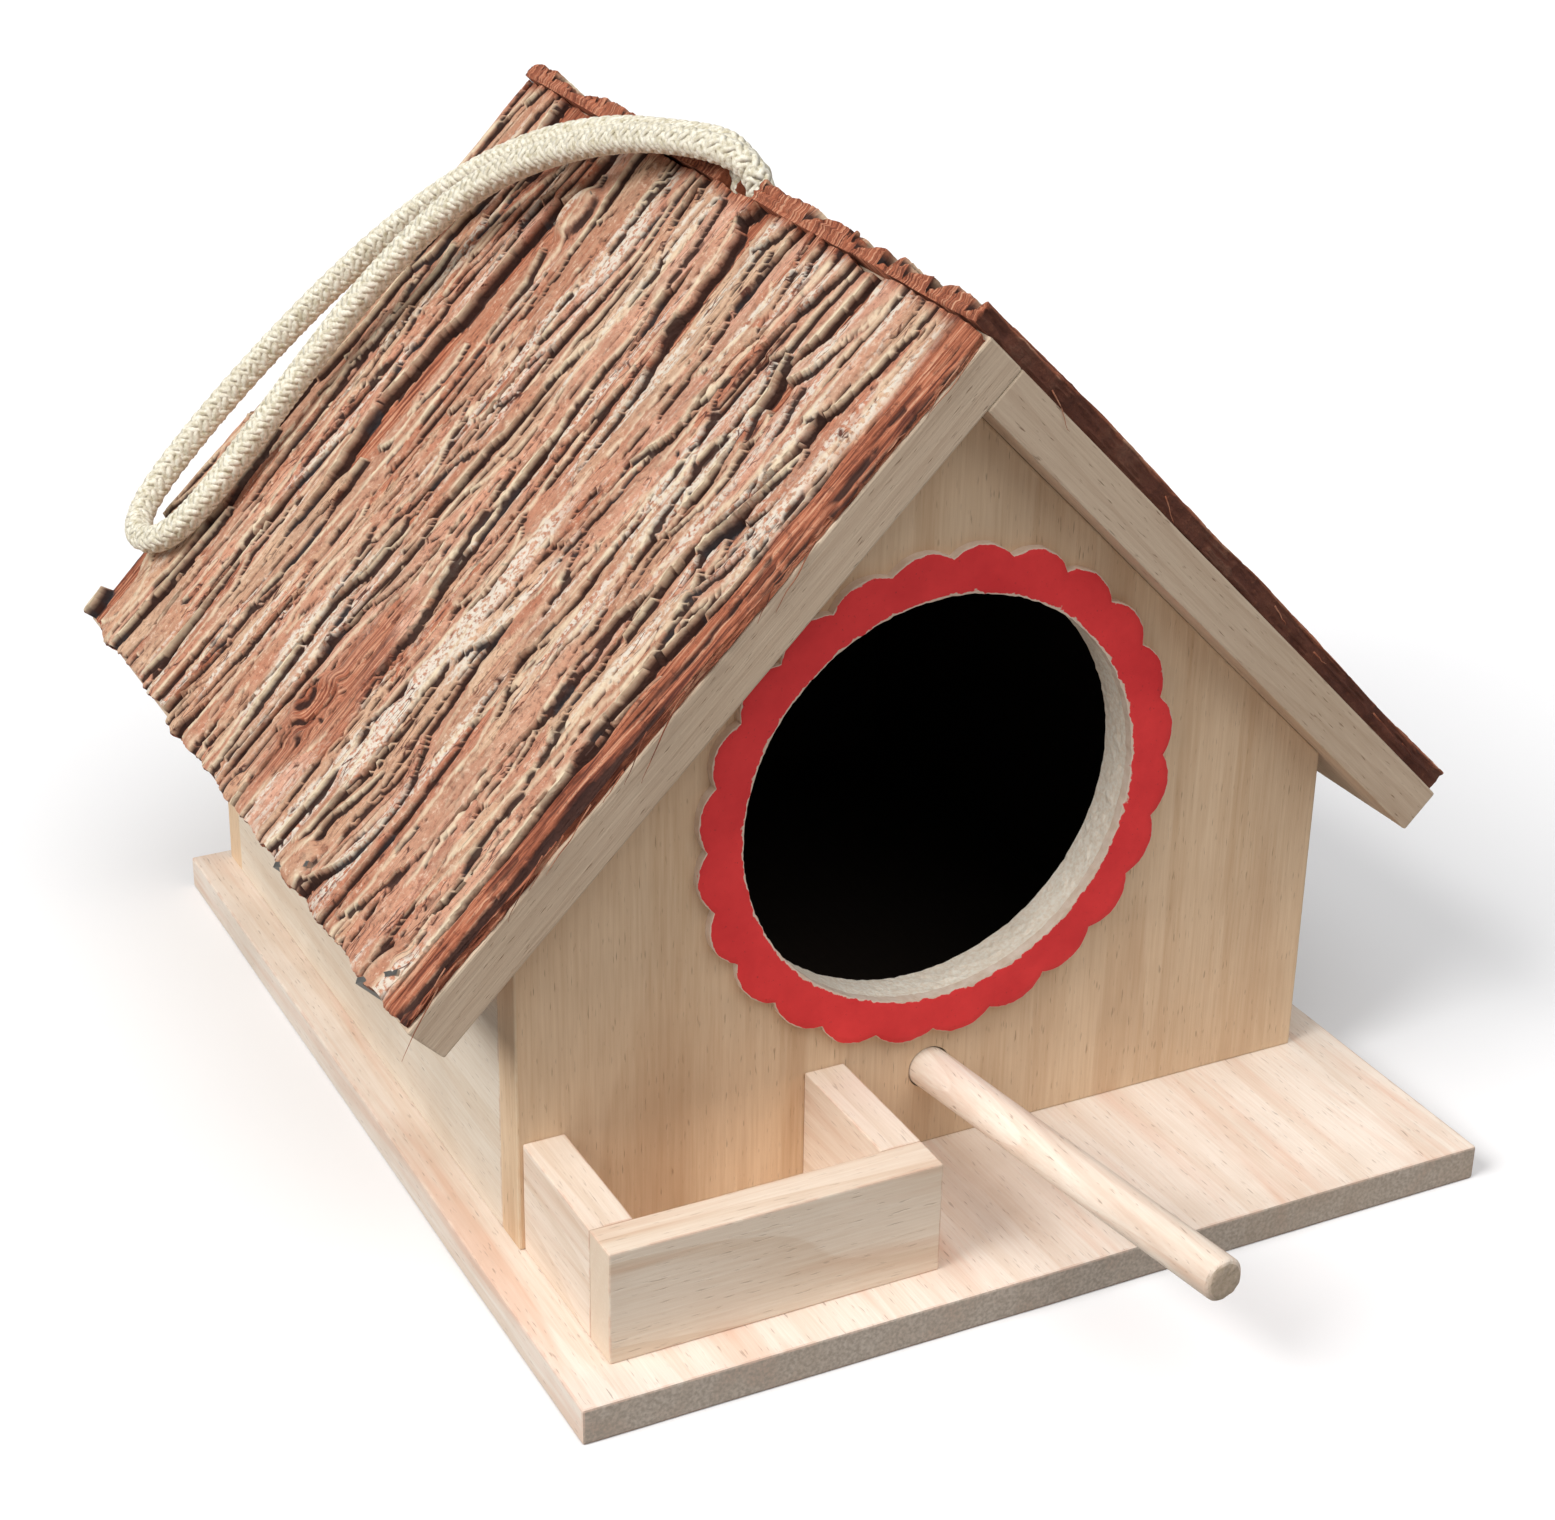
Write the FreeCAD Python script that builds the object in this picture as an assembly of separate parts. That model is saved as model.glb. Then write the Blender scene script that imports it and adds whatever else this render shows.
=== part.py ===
import FreeCAD
import Part

import math
import os

# Hanging bird feeder: a small gabled wooden house with a bark-covered roof, a round
# entrance with a scalloped ring, a perch, a feed tray on the ledge and a cord to hang it.
# Millimetres. +Z is up and the front faces -Y. The origin is the centre of the base
# board's underside.

V = FreeCAD.Vector

# ---- base board: what stands out past the house on each side
base_thickness = 7.0
front_ledge = 46.0
back_ledge = 3.0
left_ledge = 8.0
right_ledge = 10.0

# ---- house body
house_width = 165.0
house_depth = 166.0
panel_thickness = 8.0
wall_thickness = 8.0
eave_height = 64.0          # outer face of the house, from the base to the roof's underside

# ---- roof
roof_pitch = 45.0
roof_board_thickness = 9.0
rafter_length = 139.0       # underside, from the apex to the eave end
front_overhang = 8.5
back_overhang = 16.5
bark_left_thickness = 4.0
bark_right_thickness = 4.5

# ---- entrance and its ring
entrance_radius = 40.0
entrance_height = 72.0      # centre above the base board's top
entrance_shift_x = -1.1     # centre, from the house's middle
ring_thickness = 2.0
ring_inset = 0.7            # the ring's opening is this much smaller in radius
ring_tip_radius = 48.4
ring_lobes = 24
ring_lobe_depth = 2.0

# ---- perch
perch_diameter = 8.0
perch_clearance = 0.2       # gap all round in its hole
perch_reach = 82.0          # from the panel's front face
perch_inside = 4.0          # past the panel's back face
perch_height = 16.3         # above the base board's top
perch_shift_x = -0.5        # hole centre, from the house's middle
perch_turn = 7.0            # degrees to the right
perch_rise = 1.0            # degrees upwards
perch_chamfer = 0.7

# ---- feed tray
tray_width = 63.0
tray_height = 22.0
tray_strip = 8.0
tray_inset = 1.0            # tray's left face, from the house's left face
tray_reach = 36.7           # from the front panel to the tray's front face

# ---- hanging cord
cord_diameter = 6.0
cord_hole_diameter = 7.6
cord_hole_spacing = 10.0
cord_hole_from_seam = 1.4   # hole centres, to the right of the ridge seam
cord_hole_from_back = 105.5     # the front hole, from the roof's back edge
knot_length = 23.0
knot_width = 13.0
knot_depth = 12.0
knot_drop = 13.5            # knot's centre below the roof's inner apex

# ---- fasteners
nail_diameter = 1.8
nail_head_diameter = 4.0
nail_head_thickness = 0.9
base_nail_length = 24.0
roof_nail_length = 26.0
staple_crown = 10.0
staple_wire = 1.1
staple_thickness = 0.6
staple_leg = 10.0
staple_sink = 0.15          # crown below the bark's outer surface

# ---- worked out from the sizes above
base_width = left_ledge + house_width + right_ledge
base_depth = front_ledge + house_depth + back_ledge
house_shift_x = (left_ledge - right_ledge) / 2
house_left = house_shift_x - house_width / 2
house_right = house_shift_x + house_width / 2
house_front = -base_depth / 2 + front_ledge
house_back = house_front + house_depth
slope = math.radians(roof_pitch)
rise = math.tan(slope)
apex_z = base_thickness + eave_height + rise * house_width / 2
roof_front = house_front - front_overhang
roof_back = house_back + back_overhang
roof_length = roof_back - roof_front
down_left = V(-math.cos(slope), 0, -math.sin(slope))
down_right = V(math.cos(slope), 0, -math.sin(slope))
out_left = V(-math.sin(slope), 0, math.cos(slope))
out_right = V(math.sin(slope), 0, math.cos(slope))
inner_apex = V(house_shift_x, 0, apex_z)
roof_stack = roof_board_thickness + bark_left_thickness
ridge_seam = inner_apex - down_left * roof_board_thickness + out_left * roof_stack
cord_hole_x = ridge_seam.x + cord_hole_from_seam
cord_hole_y = roof_back - cord_hole_from_back
rear_hole_y = cord_hole_y + cord_hole_spacing


def block(x0, y0, z0, x1, y1, z1):
    """Box between two corners."""
    return Part.makeBox(x1 - x0, y1 - y0, z1 - z0, V(x0, y0, z0))


def prism(points, y0, y1):
    """Solid with a cross-section in the XZ plane, from y0 to y1."""
    ring = [V(x, y0, z) for x, z in points]
    ring.append(ring[0])
    face = Part.Face(Part.makePolygon(ring))
    return face.extrude(V(0, y1 - y0, 0))


def slab(start, along, out, s0, s1, t0, t1):
    """Board on a roof slope: from s0 to s1 down the slope, t0 to t1 off its underside."""
    corners = [start + along * s + out * t for s, t in ((s0, t0), (s1, t0), (s1, t1), (s0, t1))]
    return prism([(p.x, p.z) for p in corners], roof_front, roof_back)


def nail(head_point, direction, length):
    """Nail with a flat head; the head's outer face is at head_point."""
    shank = Part.makeCylinder(nail_diameter / 2, length, head_point, direction)
    head = Part.makeCylinder(nail_head_diameter / 2, nail_head_thickness, head_point, direction)
    return shank.fuse(head).removeSplitter()


def staple(centre, out, across):
    """Wire staple: a crown along `across` and two legs driven in against `out`."""
    side = out.cross(across)
    low = centre - across * (staple_crown / 2) - side * (staple_wire / 2) - out * staple_leg
    frame = [low, low + across * staple_crown, low + across * staple_crown + side * staple_wire,
             low + side * staple_wire, low]
    full = Part.Face(Part.makePolygon(frame)).extrude(out * staple_leg)
    gap = low + across * staple_wire - side * 1.0
    width = staple_crown - 2 * staple_wire
    hollow = [gap, gap + across * width, gap + across * width + side * (staple_wire + 2.0),
              gap + side * (staple_wire + 2.0), gap]
    inner = Part.Face(Part.makePolygon(hollow)).extrude(out * (staple_leg - staple_thickness))
    return full.cut(inner)


def gable_panel(y0, y1):
    """Five-sided panel from the base board up to the roof's underside."""
    floor = base_thickness
    eave = base_thickness + eave_height
    return prism([(house_left, floor), (house_right, floor), (house_right, eave),
                  (house_shift_x, apex_z), (house_left, eave)], y0, y1)


def side_wall(outer_x, inward):
    """Low wall between the gable panels, its top bevelled to the roof."""
    inner_x = outer_x + inward * wall_thickness
    eave = base_thickness + eave_height
    section = [(outer_x, base_thickness), (inner_x, base_thickness),
               (inner_x, eave + wall_thickness * rise), (outer_x, eave)]
    return prism(section, house_front + panel_thickness, house_back - panel_thickness)


def scalloped_disc(radius, lobes, depth, y0, y1):
    """Disc whose rim is a row of round lobes, each an arc through valley, tip, valley."""
    step = 2 * math.pi / lobes
    valley = radius - depth
    edges = []
    for i in range(lobes):
        a = (i + 0.5) * step
        spots = []
        for r, angle in ((valley, a - step / 2), (radius, a), (valley, a + step / 2)):
            spots.append(V(entrance_x + r * math.cos(angle), y0, entrance_z + r * math.sin(angle)))
        edges.append(Part.Arc(spots[0], spots[1], spots[2]).toShape())
    return Part.Face(Part.Wire(edges)).extrude(V(0, y1 - y0, 0))


def cord_tube(points, radius):
    """Tube of straight runs joined by tangent arcs, each arc as large as its runs allow."""
    cuts = []
    for i in range(1, len(points) - 1):
        back = points[i - 1] - points[i]
        ahead = points[i + 1] - points[i]
        shorter = min(back.Length, ahead.Length)
        back.normalize()
        ahead.normalize()
        turn = math.pi - back.getAngle(ahead)
        trim = 0.45 * shorter
        arc_radius = trim / math.tan(turn / 2)
        print("cord bend", i, "radius", round(arc_radius, 1), "turn", round(math.degrees(turn), 1))
        middle = back + ahead
        middle.normalize()
        centre_distance = math.hypot(arc_radius, trim)
        cuts.append((points[i] + back * trim, points[i] + middle * (centre_distance - arc_radius),
                     points[i] + ahead * trim))
    edges = []
    here = points[0]
    for first, mid, last in cuts:
        edges.append(Part.LineSegment(here, first).toShape())
        edges.append(Part.Arc(first, mid, last).toShape())
        here = last
    edges.append(Part.LineSegment(here, points[-1]).toShape())
    path = Part.Wire(edges)
    circle = Part.Wire(Part.makeCircle(radius, points[0], points[1] - points[0]))
    tube = path.makePipeShell([circle], True, False)
    print("cord length", round(path.Length, 1), "volume error",
          round(tube.Volume / (math.pi * radius ** 2 * path.Length) - 1, 5))
    return tube


# ---- base board
base_board = block(-base_width / 2, -base_depth / 2, 0, base_width / 2, base_depth / 2, base_thickness)

# ---- gable panels and side walls
front_panel = gable_panel(house_front, house_front + panel_thickness)
back_panel = gable_panel(house_back - panel_thickness, house_back)
left_wall = side_wall(house_left, 1)
right_wall = side_wall(house_right, -1)

# ---- entrance: a round bore and a thin scalloped ring glued on the front face
entrance_x = house_shift_x + entrance_shift_x
entrance_z = base_thickness + entrance_height
bore = Part.makeCylinder(entrance_radius, 3 * panel_thickness,
                         V(entrance_x, house_front - panel_thickness, entrance_z), V(0, 1, 0))
front_panel = front_panel.cut(bore)
ring_front = house_front - ring_thickness
entrance_ring = scalloped_disc(ring_tip_radius, ring_lobes, ring_lobe_depth, ring_front, house_front)
entrance_ring = entrance_ring.cut(Part.makeCylinder(
    entrance_radius - ring_inset, 3 * ring_thickness,
    V(entrance_x, ring_front - ring_thickness, entrance_z), V(0, 1, 0)))

# ---- perch: a dowel pushed into a hole bored along its own line
turn = math.radians(perch_turn)
lift = math.radians(perch_rise)
perch_way = V(math.sin(turn) * math.cos(lift), -math.cos(turn) * math.cos(lift), math.sin(lift))
perch_mouth = V(house_shift_x + perch_shift_x, house_front, base_thickness + perch_height)
perch_length = perch_reach + panel_thickness + perch_inside
perch_start = perch_mouth - perch_way * (panel_thickness + perch_inside)
perch = Part.makeCylinder(perch_diameter / 2, perch_length, perch_start, perch_way)
perch_end = perch_start + perch_way * perch_length
perch = perch.makeChamfer(perch_chamfer, [e for e in perch.Edges if len(e.Vertexes) == 1
                                          and (e.CenterOfMass - perch_end).Length < 1.0])
perch_hole = Part.makeCylinder(perch_diameter / 2 + perch_clearance, 4 * panel_thickness,
                               perch_mouth - perch_way * (2 * panel_thickness), perch_way)
front_panel = front_panel.cut(perch_hole)

# ---- feed tray: three strips on edge, closed by the front panel
tray_left = house_left + tray_inset
tray_right = tray_left + tray_width
tray_front = house_front - tray_reach
tray_top = base_thickness + tray_height
tray_back_of_front = tray_front + tray_strip
tray_front_strip = block(tray_left, tray_front, base_thickness, tray_right, tray_back_of_front, tray_top)
tray_left_strip = block(tray_left, tray_back_of_front, base_thickness,
                        tray_left + tray_strip, house_front, tray_top)
tray_right_strip = block(tray_right - tray_strip, tray_back_of_front, base_thickness,
                         tray_right, house_front, tray_top)

# ---- roof: the left board runs over the ridge and the right one butts under it
thick = roof_board_thickness
roof_board_left = slab(inner_apex, down_left, out_left, -thick, rafter_length, 0, thick)
roof_board_right = slab(inner_apex, down_right, out_right, 0, rafter_length, 0, thick)

# ---- bark: the left slab stops level with the right board's top, the right one covers its end
bark_left = slab(inner_apex, down_left, out_left, -thick, rafter_length, thick,
                 thick + bark_left_thickness)
bark_right = slab(inner_apex, down_right, out_right, -thick - bark_left_thickness, rafter_length,
                  thick, thick + bark_right_thickness)

# ---- two upright holes beside the ridge seam for the cord
hole_foot = apex_z - 20.0
holes = [Part.makeCylinder(cord_hole_diameter / 2, 60.0, V(cord_hole_x, y, hole_foot), V(0, 0, 1))
         for y in (cord_hole_y, rear_hole_y)]
cord_holes = holes[0].fuse(holes[1])
roof_board_left = roof_board_left.cut(cord_holes)
roof_board_right = roof_board_right.cut(cord_holes)
bark_left = bark_left.cut(cord_holes)
bark_right = bark_right.cut(cord_holes)

# ---- knot: one round lump under the ridge that joins the cord's two ends
knot_y = (cord_hole_y + rear_hole_y) / 2
knot_z = apex_z - knot_drop
ball = Part.makeSphere(1.0)
squash = FreeCAD.Matrix()
squash.scale(knot_width / 2, knot_length / 2, knot_depth / 2)
squash.move(V(cord_hole_x, knot_y, knot_z))
cord_knot = ball.transformGeometry(squash)

# ---- cord: up through the front hole, over and down the left slope in a narrow loop,
# ---- back up beside itself and down through the rear hole
knot_top = knot_z + 1.0
hole_run = ridge_seam.z - knot_top


def over_slope(down, above, from_back):
    """Point over the left slope: down from the ridge seam, above the bark, from the back edge."""
    spot = ridge_seam + down_left * down + out_left * above
    return spot + V(0, roof_back - from_back, 0)


cord_route = [
    V(cord_hole_x, cord_hole_y, knot_top),
    V(cord_hole_x + 0.15, cord_hole_y - 0.1, knot_top + 0.28 * hole_run),
    V(cord_hole_x, cord_hole_y, knot_top + 0.58 * hole_run),
    V(cord_hole_x + 0.1, cord_hole_y, knot_top + 0.85 * hole_run),
    over_slope(-2.6, 0.7, 105.1),
    over_slope(-5.7, 4.4, 102.8),
    over_slope(-6.7, 7.6, 97.6),
    over_slope(-3.2, 9.5, 86.5),
    over_slope(2.0, 10.3, 72.0),
    over_slope(11.0, 10.5, 54.5),
    over_slope(23.0, 10.3, 40.5),
    over_slope(37.5, 9.3, 31.5),
    over_slope(56.0, 7.9, 25.5),
    over_slope(76.5, 5.8, 22.5),
    over_slope(96.0, 4.5, 22.5),
    over_slope(111.0, 3.8, 22.3),
    over_slope(120.3, 3.6, 20.2),
    over_slope(126.0, 3.7, 15.0),
    over_slope(127.0, 3.8, 7.5),
    over_slope(122.8, 3.7, 1.2),
    over_slope(113.2, 3.7, -1.7),
    over_slope(96.5, 4.1, -1.5),
    over_slope(77.5, 4.7, 1.5),
    over_slope(57.0, 5.4, 7.0),
    over_slope(38.7, 6.1, 15.5),
    over_slope(23.0, 6.8, 28.0),
    over_slope(10.6, 6.6, 43.0),
    over_slope(1.7, 5.6, 59.5),
    over_slope(-3.4, 5.0, 74.0),
    over_slope(-6.0, 5.4, 83.5),
    over_slope(-7.1, 5.6, 89.6),
    over_slope(-5.5, 3.8, 93.5),
    over_slope(-2.7, 0.9, 95.5),
    V(cord_hole_x + 0.1, rear_hole_y - 0.2, knot_top + 0.88 * hole_run),
    V(cord_hole_x, rear_hole_y, knot_top + 0.58 * hole_run),
    V(cord_hole_x + 0.1, rear_hole_y, knot_top + 0.24 * hole_run),
    V(cord_hole_x, rear_hole_y, knot_top),
]
hanging_cord = cord_tube(cord_route, cord_diameter / 2)
hanging_cord = hanging_cord.cut(cord_knot)

# ---- staples that hold the bark, crowns level with its surface
staple_spots = [(10.0, 57.0, 20.0), (136.0, 135.0, 60.0), (rafter_length - 3.0, 179.0, 50.0)]
staples = []
for along, out, lift_off in ((down_left, out_left, bark_left_thickness),
                             (down_right, out_right, bark_right_thickness)):
    for down, from_back, spin in staple_spots:
        spot = inner_apex + along * down + out * (thick + lift_off - staple_sink)
        spot = spot + V(0, roof_back - from_back, 0)
        a = math.radians(spin)
        across = along * math.cos(a) + V(0, math.sin(a), 0)
        staples.append(staple(spot, out, across))
bark_staples = Part.makeCompound(staples)

# ---- nails through the roof boards, their heads level with the boards' outer faces
roof_nail_list = []
for along, out in ((down_left, out_left), (down_right, out_right)):
    for y in (house_front + panel_thickness / 2, house_back - panel_thickness / 2):
        for s in (28.0, 92.0):
            spot = inner_apex + along * s + out * thick + V(0, y, 0)
            roof_nail_list.append(nail(spot, out * -1, roof_nail_length))
for y in (roof_front + 30.0, (roof_front + roof_back) / 2 + 20.0, roof_back - 30.0):
    spot = inner_apex + down_left * (-thick / 2) + out_left * thick + V(0, y, 0)
    roof_nail_list.append(nail(spot, out_left * -1, roof_nail_length))
roof_nails = Part.makeCompound(roof_nail_list)

# ---- nails up through the base board into the panels and the walls
base_nail_list = []
for y in (house_front + panel_thickness / 2, house_back - panel_thickness / 2):
    for x in (house_shift_x - 50.0, house_shift_x + 50.0):
        base_nail_list.append(nail(V(x, y, 0), V(0, 0, 1), base_nail_length))
for x in (house_left + wall_thickness / 2, house_right - wall_thickness / 2):
    for y in ((house_front + house_back) / 2 - 45.0, (house_front + house_back) / 2 + 45.0):
        base_nail_list.append(nail(V(x, y, 0), V(0, 0, 1), base_nail_length))
base_nails = Part.makeCompound(base_nail_list)

# ---- every fastener sits in a hole of its own size
base_board = base_board.cut(base_nails)
front_panel = front_panel.cut(base_nails).cut(roof_nails)
back_panel = back_panel.cut(base_nails).cut(roof_nails)
left_wall = left_wall.cut(base_nails)
right_wall = right_wall.cut(base_nails)
roof_board_left = roof_board_left.cut(roof_nails).cut(bark_staples)
roof_board_right = roof_board_right.cut(roof_nails).cut(bark_staples)
bark_left = bark_left.cut(bark_staples)
bark_right = bark_right.cut(bark_staples)

pieces = {
    "base_board": base_board,
    "front_panel": front_panel,
    "back_panel": back_panel,
    "left_wall": left_wall,
    "right_wall": right_wall,
    "roof_board_left": roof_board_left,
    "roof_board_right": roof_board_right,
    "bark_left": bark_left,
    "bark_right": bark_right,
    "entrance_ring": entrance_ring,
    "perch": perch,
    "tray_front_strip": tray_front_strip,
    "tray_left_strip": tray_left_strip,
    "tray_right_strip": tray_right_strip,
    "hanging_cord": hanging_cord,
    "cord_knot": cord_knot,
    "bark_staples": bark_staples,
    "roof_nails": roof_nails,
    "base_nails": base_nails,
}
os.makedirs("parts", exist_ok=True)
for name, shape in pieces.items():
    print(name, "solids", len(shape.Solids), "valid", shape.isValid(), "volume", round(shape.Volume, 1))
    shape.exportStep("parts/" + name + ".step")
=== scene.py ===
import math

import bmesh
import bpy
import numpy as np
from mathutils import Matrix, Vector, noise


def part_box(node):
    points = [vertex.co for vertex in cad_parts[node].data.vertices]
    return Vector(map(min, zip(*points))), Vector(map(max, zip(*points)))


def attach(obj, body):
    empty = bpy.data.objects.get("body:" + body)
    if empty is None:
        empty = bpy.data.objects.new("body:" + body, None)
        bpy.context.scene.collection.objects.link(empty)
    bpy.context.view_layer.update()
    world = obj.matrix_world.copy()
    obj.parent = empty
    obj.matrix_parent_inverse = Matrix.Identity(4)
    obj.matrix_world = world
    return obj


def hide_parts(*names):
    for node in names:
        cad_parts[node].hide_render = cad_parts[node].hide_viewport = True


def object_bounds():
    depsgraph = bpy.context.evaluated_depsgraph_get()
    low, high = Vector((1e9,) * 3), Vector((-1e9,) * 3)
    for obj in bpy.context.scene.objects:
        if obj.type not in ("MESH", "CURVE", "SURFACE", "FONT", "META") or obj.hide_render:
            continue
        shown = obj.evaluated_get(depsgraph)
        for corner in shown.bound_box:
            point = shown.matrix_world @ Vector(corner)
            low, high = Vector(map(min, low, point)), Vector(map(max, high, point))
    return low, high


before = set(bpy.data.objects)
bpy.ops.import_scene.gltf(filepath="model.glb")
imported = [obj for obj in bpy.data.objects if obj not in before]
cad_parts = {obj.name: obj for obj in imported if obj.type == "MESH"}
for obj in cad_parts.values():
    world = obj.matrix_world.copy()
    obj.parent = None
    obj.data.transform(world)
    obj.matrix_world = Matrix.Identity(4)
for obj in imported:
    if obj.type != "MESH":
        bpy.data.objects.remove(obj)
cad_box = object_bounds()
mm = 0.001


# ---------------------------------------------------------------- camera
# A long lens stands to the front left of the feeder, a little above its ridge, and looks
# down on the left slope, the entrance and the tray.
lens_length = 69.29
sensor_width = 36.0
camera_spot = (-0.245524, -0.469826, 0.314439)
camera_turn = (1.121944, -0.017099, -0.469322)

camera_data = bpy.data.cameras.new("camera")
camera_data.sensor_fit = "HORIZONTAL"
camera_data.sensor_width = sensor_width
camera_data.lens = lens_length
camera_data.clip_start = 0.01
camera = bpy.data.objects.new("camera", camera_data)
camera.location = camera_spot
camera.rotation_euler = camera_turn
bpy.context.scene.collection.objects.link(camera)
bpy.context.scene.camera = camera


# ---------------------------------------------------------------- hanging cord
# Cream cotton cord, 6 mm, braided from sixteen yarns over a soft core. It comes up out of
# a hole by the ridge, lies down the left slope in a narrow loop, and goes back down a
# second hole; one knot under the ridge holds both ends.
yarns_each_way = 8
braid_lay = 13.0 * mm           # along the cord, for one turn of a yarn
braid_radius = 2.46 * mm        # cord's middle to a yarn's middle
braid_lift = 0.15 * mm          # how far a yarn rises and dips at the crossings
yarn_half_width = 0.80 * mm
yarn_half_height = 0.36 * mm
yarn_sides = 5
core_radius = 2.35 * mm
cord_route = [
    (-2.43, 15.5, 141.0), (-1.7, 15.4, 148.9), (-0.5, 15.5, 157.3), (0.5, 15.7, 164.4),
    (0.6, 16.4, 169.6), (-0.8, 19.0, 173.7), (-4.8, 25.0, 175.7), (-8.9, 35.5, 175.2),
    (-12.9, 49.0, 172.8), (-19.2, 66.5, 167.0), (-27.4, 80.5, 159.3), (-36.9, 89.5, 149.1),
    (-49.0, 95.5, 135.0), (-62.0, 98.5, 119.1), (-74.9, 98.5, 104.4), (-85.0, 98.7, 93.3),
    (-91.4, 100.8, 86.5), (-95.5, 106.0, 82.6), (-96.3, 113.5, 82.0), (-93.3, 119.8, 84.8),
    (-86.5, 122.7, 91.6), (-75.0, 122.5, 103.7), (-62.0, 119.5, 117.6), (-48.0, 114.0, 132.6),
    (-35.5, 105.5, 146.0), (-24.9, 93.0, 157.6), (-16.0, 78.0, 166.0), (-9.0, 61.5, 171.2),
    (-5.0, 47.0, 173.2), (-2.6, 38.0, 174.3), (-0.9, 31.5, 174.8), (0.6, 27.2, 174.0),
    (1.2, 23.9, 170.7), (0.4, 22.6, 165.0), (-0.9, 22.9, 157.3), (-1.8, 24.7, 147.7),
    (-2.43, 25.5, 141.0),
]


def wire_up(tree, node, inputs):
    """Sets a node's inputs to values, or links them to the sockets that feed them."""
    for socket, value in inputs.items():
        if isinstance(value, bpy.types.NodeSocket):
            tree.links.new(value, node.inputs[socket])
        else:
            node.inputs[socket].default_value = value


def place(tree, kind, inputs=None, **settings):
    """Adds one shader node; inputs are values or the sockets that feed them."""
    made = tree.nodes.new(kind if kind.startswith("Node") else "ShaderNode" + kind)
    for key, value in settings.items():
        setattr(made, key, value)
    wire_up(tree, made, inputs or {})
    return made


def noise_at(tree, spot, scale, detail=2.0, roughness=0.5, **more):
    """Random value about 0.5 that changes smoothly with the position."""
    return place(tree, "TexNoise", {"Vector": spot, "Scale": scale, "Detail": detail,
                                    "Roughness": roughness, **more}).outputs["Fac"]


def ranged(tree, value, low=0.0, high=1.0, bottom=0.0, top=1.0, **settings):
    """`bottom` where the value is at `low`, `top` where it is at `high`, held beyond them."""
    return place(tree, "MapRange", {"Value": value, "From Min": low, "From Max": high,
                                    "To Min": bottom, "To Max": top}, **settings).outputs["Result"]


def mixed(tree, share, first, second, **settings):
    """First colour with a share of the second in it."""
    return place(tree, "MixRGB", {"Fac": share, "Color1": first, "Color2": second},
                 **settings).outputs["Color"]


def ramp(tree, value, *stops):
    """Colour that runs through the stops, each a position and a colour."""
    made = place(tree, "ValToRGB", {"Fac": value})
    elements = made.color_ramp.elements
    elements[0].position, elements[0].color = stops[0]
    elements[1].position, elements[1].color = stops[-1]
    for position, colour in stops[1:-1]:
        elements.new(position).color = colour
    return made.outputs["Color"]


def bumped(tree, height, strength, distance):
    """Normal of a surface raised by a height."""
    return place(tree, "Bump", {"Height": height, "Strength": strength,
                                "Distance": distance}).outputs["Normal"]


def card(red, green, blue):
    """Colour read off a colour card, 0 to 255, as linear light."""
    def light(c):
        c = c / 255
        return c / 12.92 if c <= 0.04045 else ((c + 0.055) / 1.055) ** 2.4
    return (light(red), light(green), light(blue), 1.0)


def new_material(name):
    """Material with an empty tree, its Principled shader and the object's own coordinates."""
    material = bpy.data.materials.new(name)
    material.use_nodes = True
    tree = material.node_tree
    tree.nodes.clear()
    out = place(tree, "OutputMaterial")
    shader = place(tree, "BsdfPrincipled")
    tree.links.new(shader.outputs["BSDF"], out.inputs["Surface"])
    place_in = place(tree, "TexCoord")
    return material, tree, shader, place_in.outputs["Object"]


def new_group(name, inputs, outputs):
    """Shader node group with named sockets: (label, kind, value) in, (label, kind) out."""
    tree = bpy.data.node_groups.new(name, "ShaderNodeTree")
    for label, kind, value in inputs:
        socket = tree.interface.new_socket(label, in_out="INPUT", socket_type="NodeSocket" + kind)
        if value is not None:
            socket.default_value = value
    for label, kind in outputs:
        tree.interface.new_socket(label, in_out="OUTPUT", socket_type="NodeSocket" + kind)
    return tree, place(tree, "NodeGroupInput").outputs, place(tree, "NodeGroupOutput").inputs


def add_piece(name, mesh, material, nodes=()):
    """Puts a finished mesh in the scene as a piece of the feeder."""
    piece = bpy.data.objects.new(name, mesh)
    bpy.context.scene.collection.objects.link(piece)
    if material is not None:
        mesh.materials.append(material)
    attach(piece, "root")
    if nodes:
        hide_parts(*nodes)
    return piece


def mesh_of(name, points, faces, smooth=True):
    """Mesh from arrays of points and faces."""
    mesh = bpy.data.meshes.new(name)
    mesh.from_pydata([tuple(p) for p in points], [], [tuple(f) for f in faces])
    mesh.polygons.foreach_set("use_smooth", [smooth] * len(mesh.polygons))
    mesh.update()
    return mesh


def soft_curve(name, points_in_mm):
    """Open NURBS curve with the given points as its control points."""
    curve = bpy.data.curves.new(name, "CURVE")
    curve.dimensions = "3D"
    spline = curve.splines.new("NURBS")
    spline.points.add(len(points_in_mm) - 1)
    for point, (x, y, z) in zip(spline.points, points_in_mm):
        point.co = (x * mm, y * mm, z * mm, 1)
    spline.order_u = 3
    spline.use_endpoint_u = True
    return curve


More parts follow.
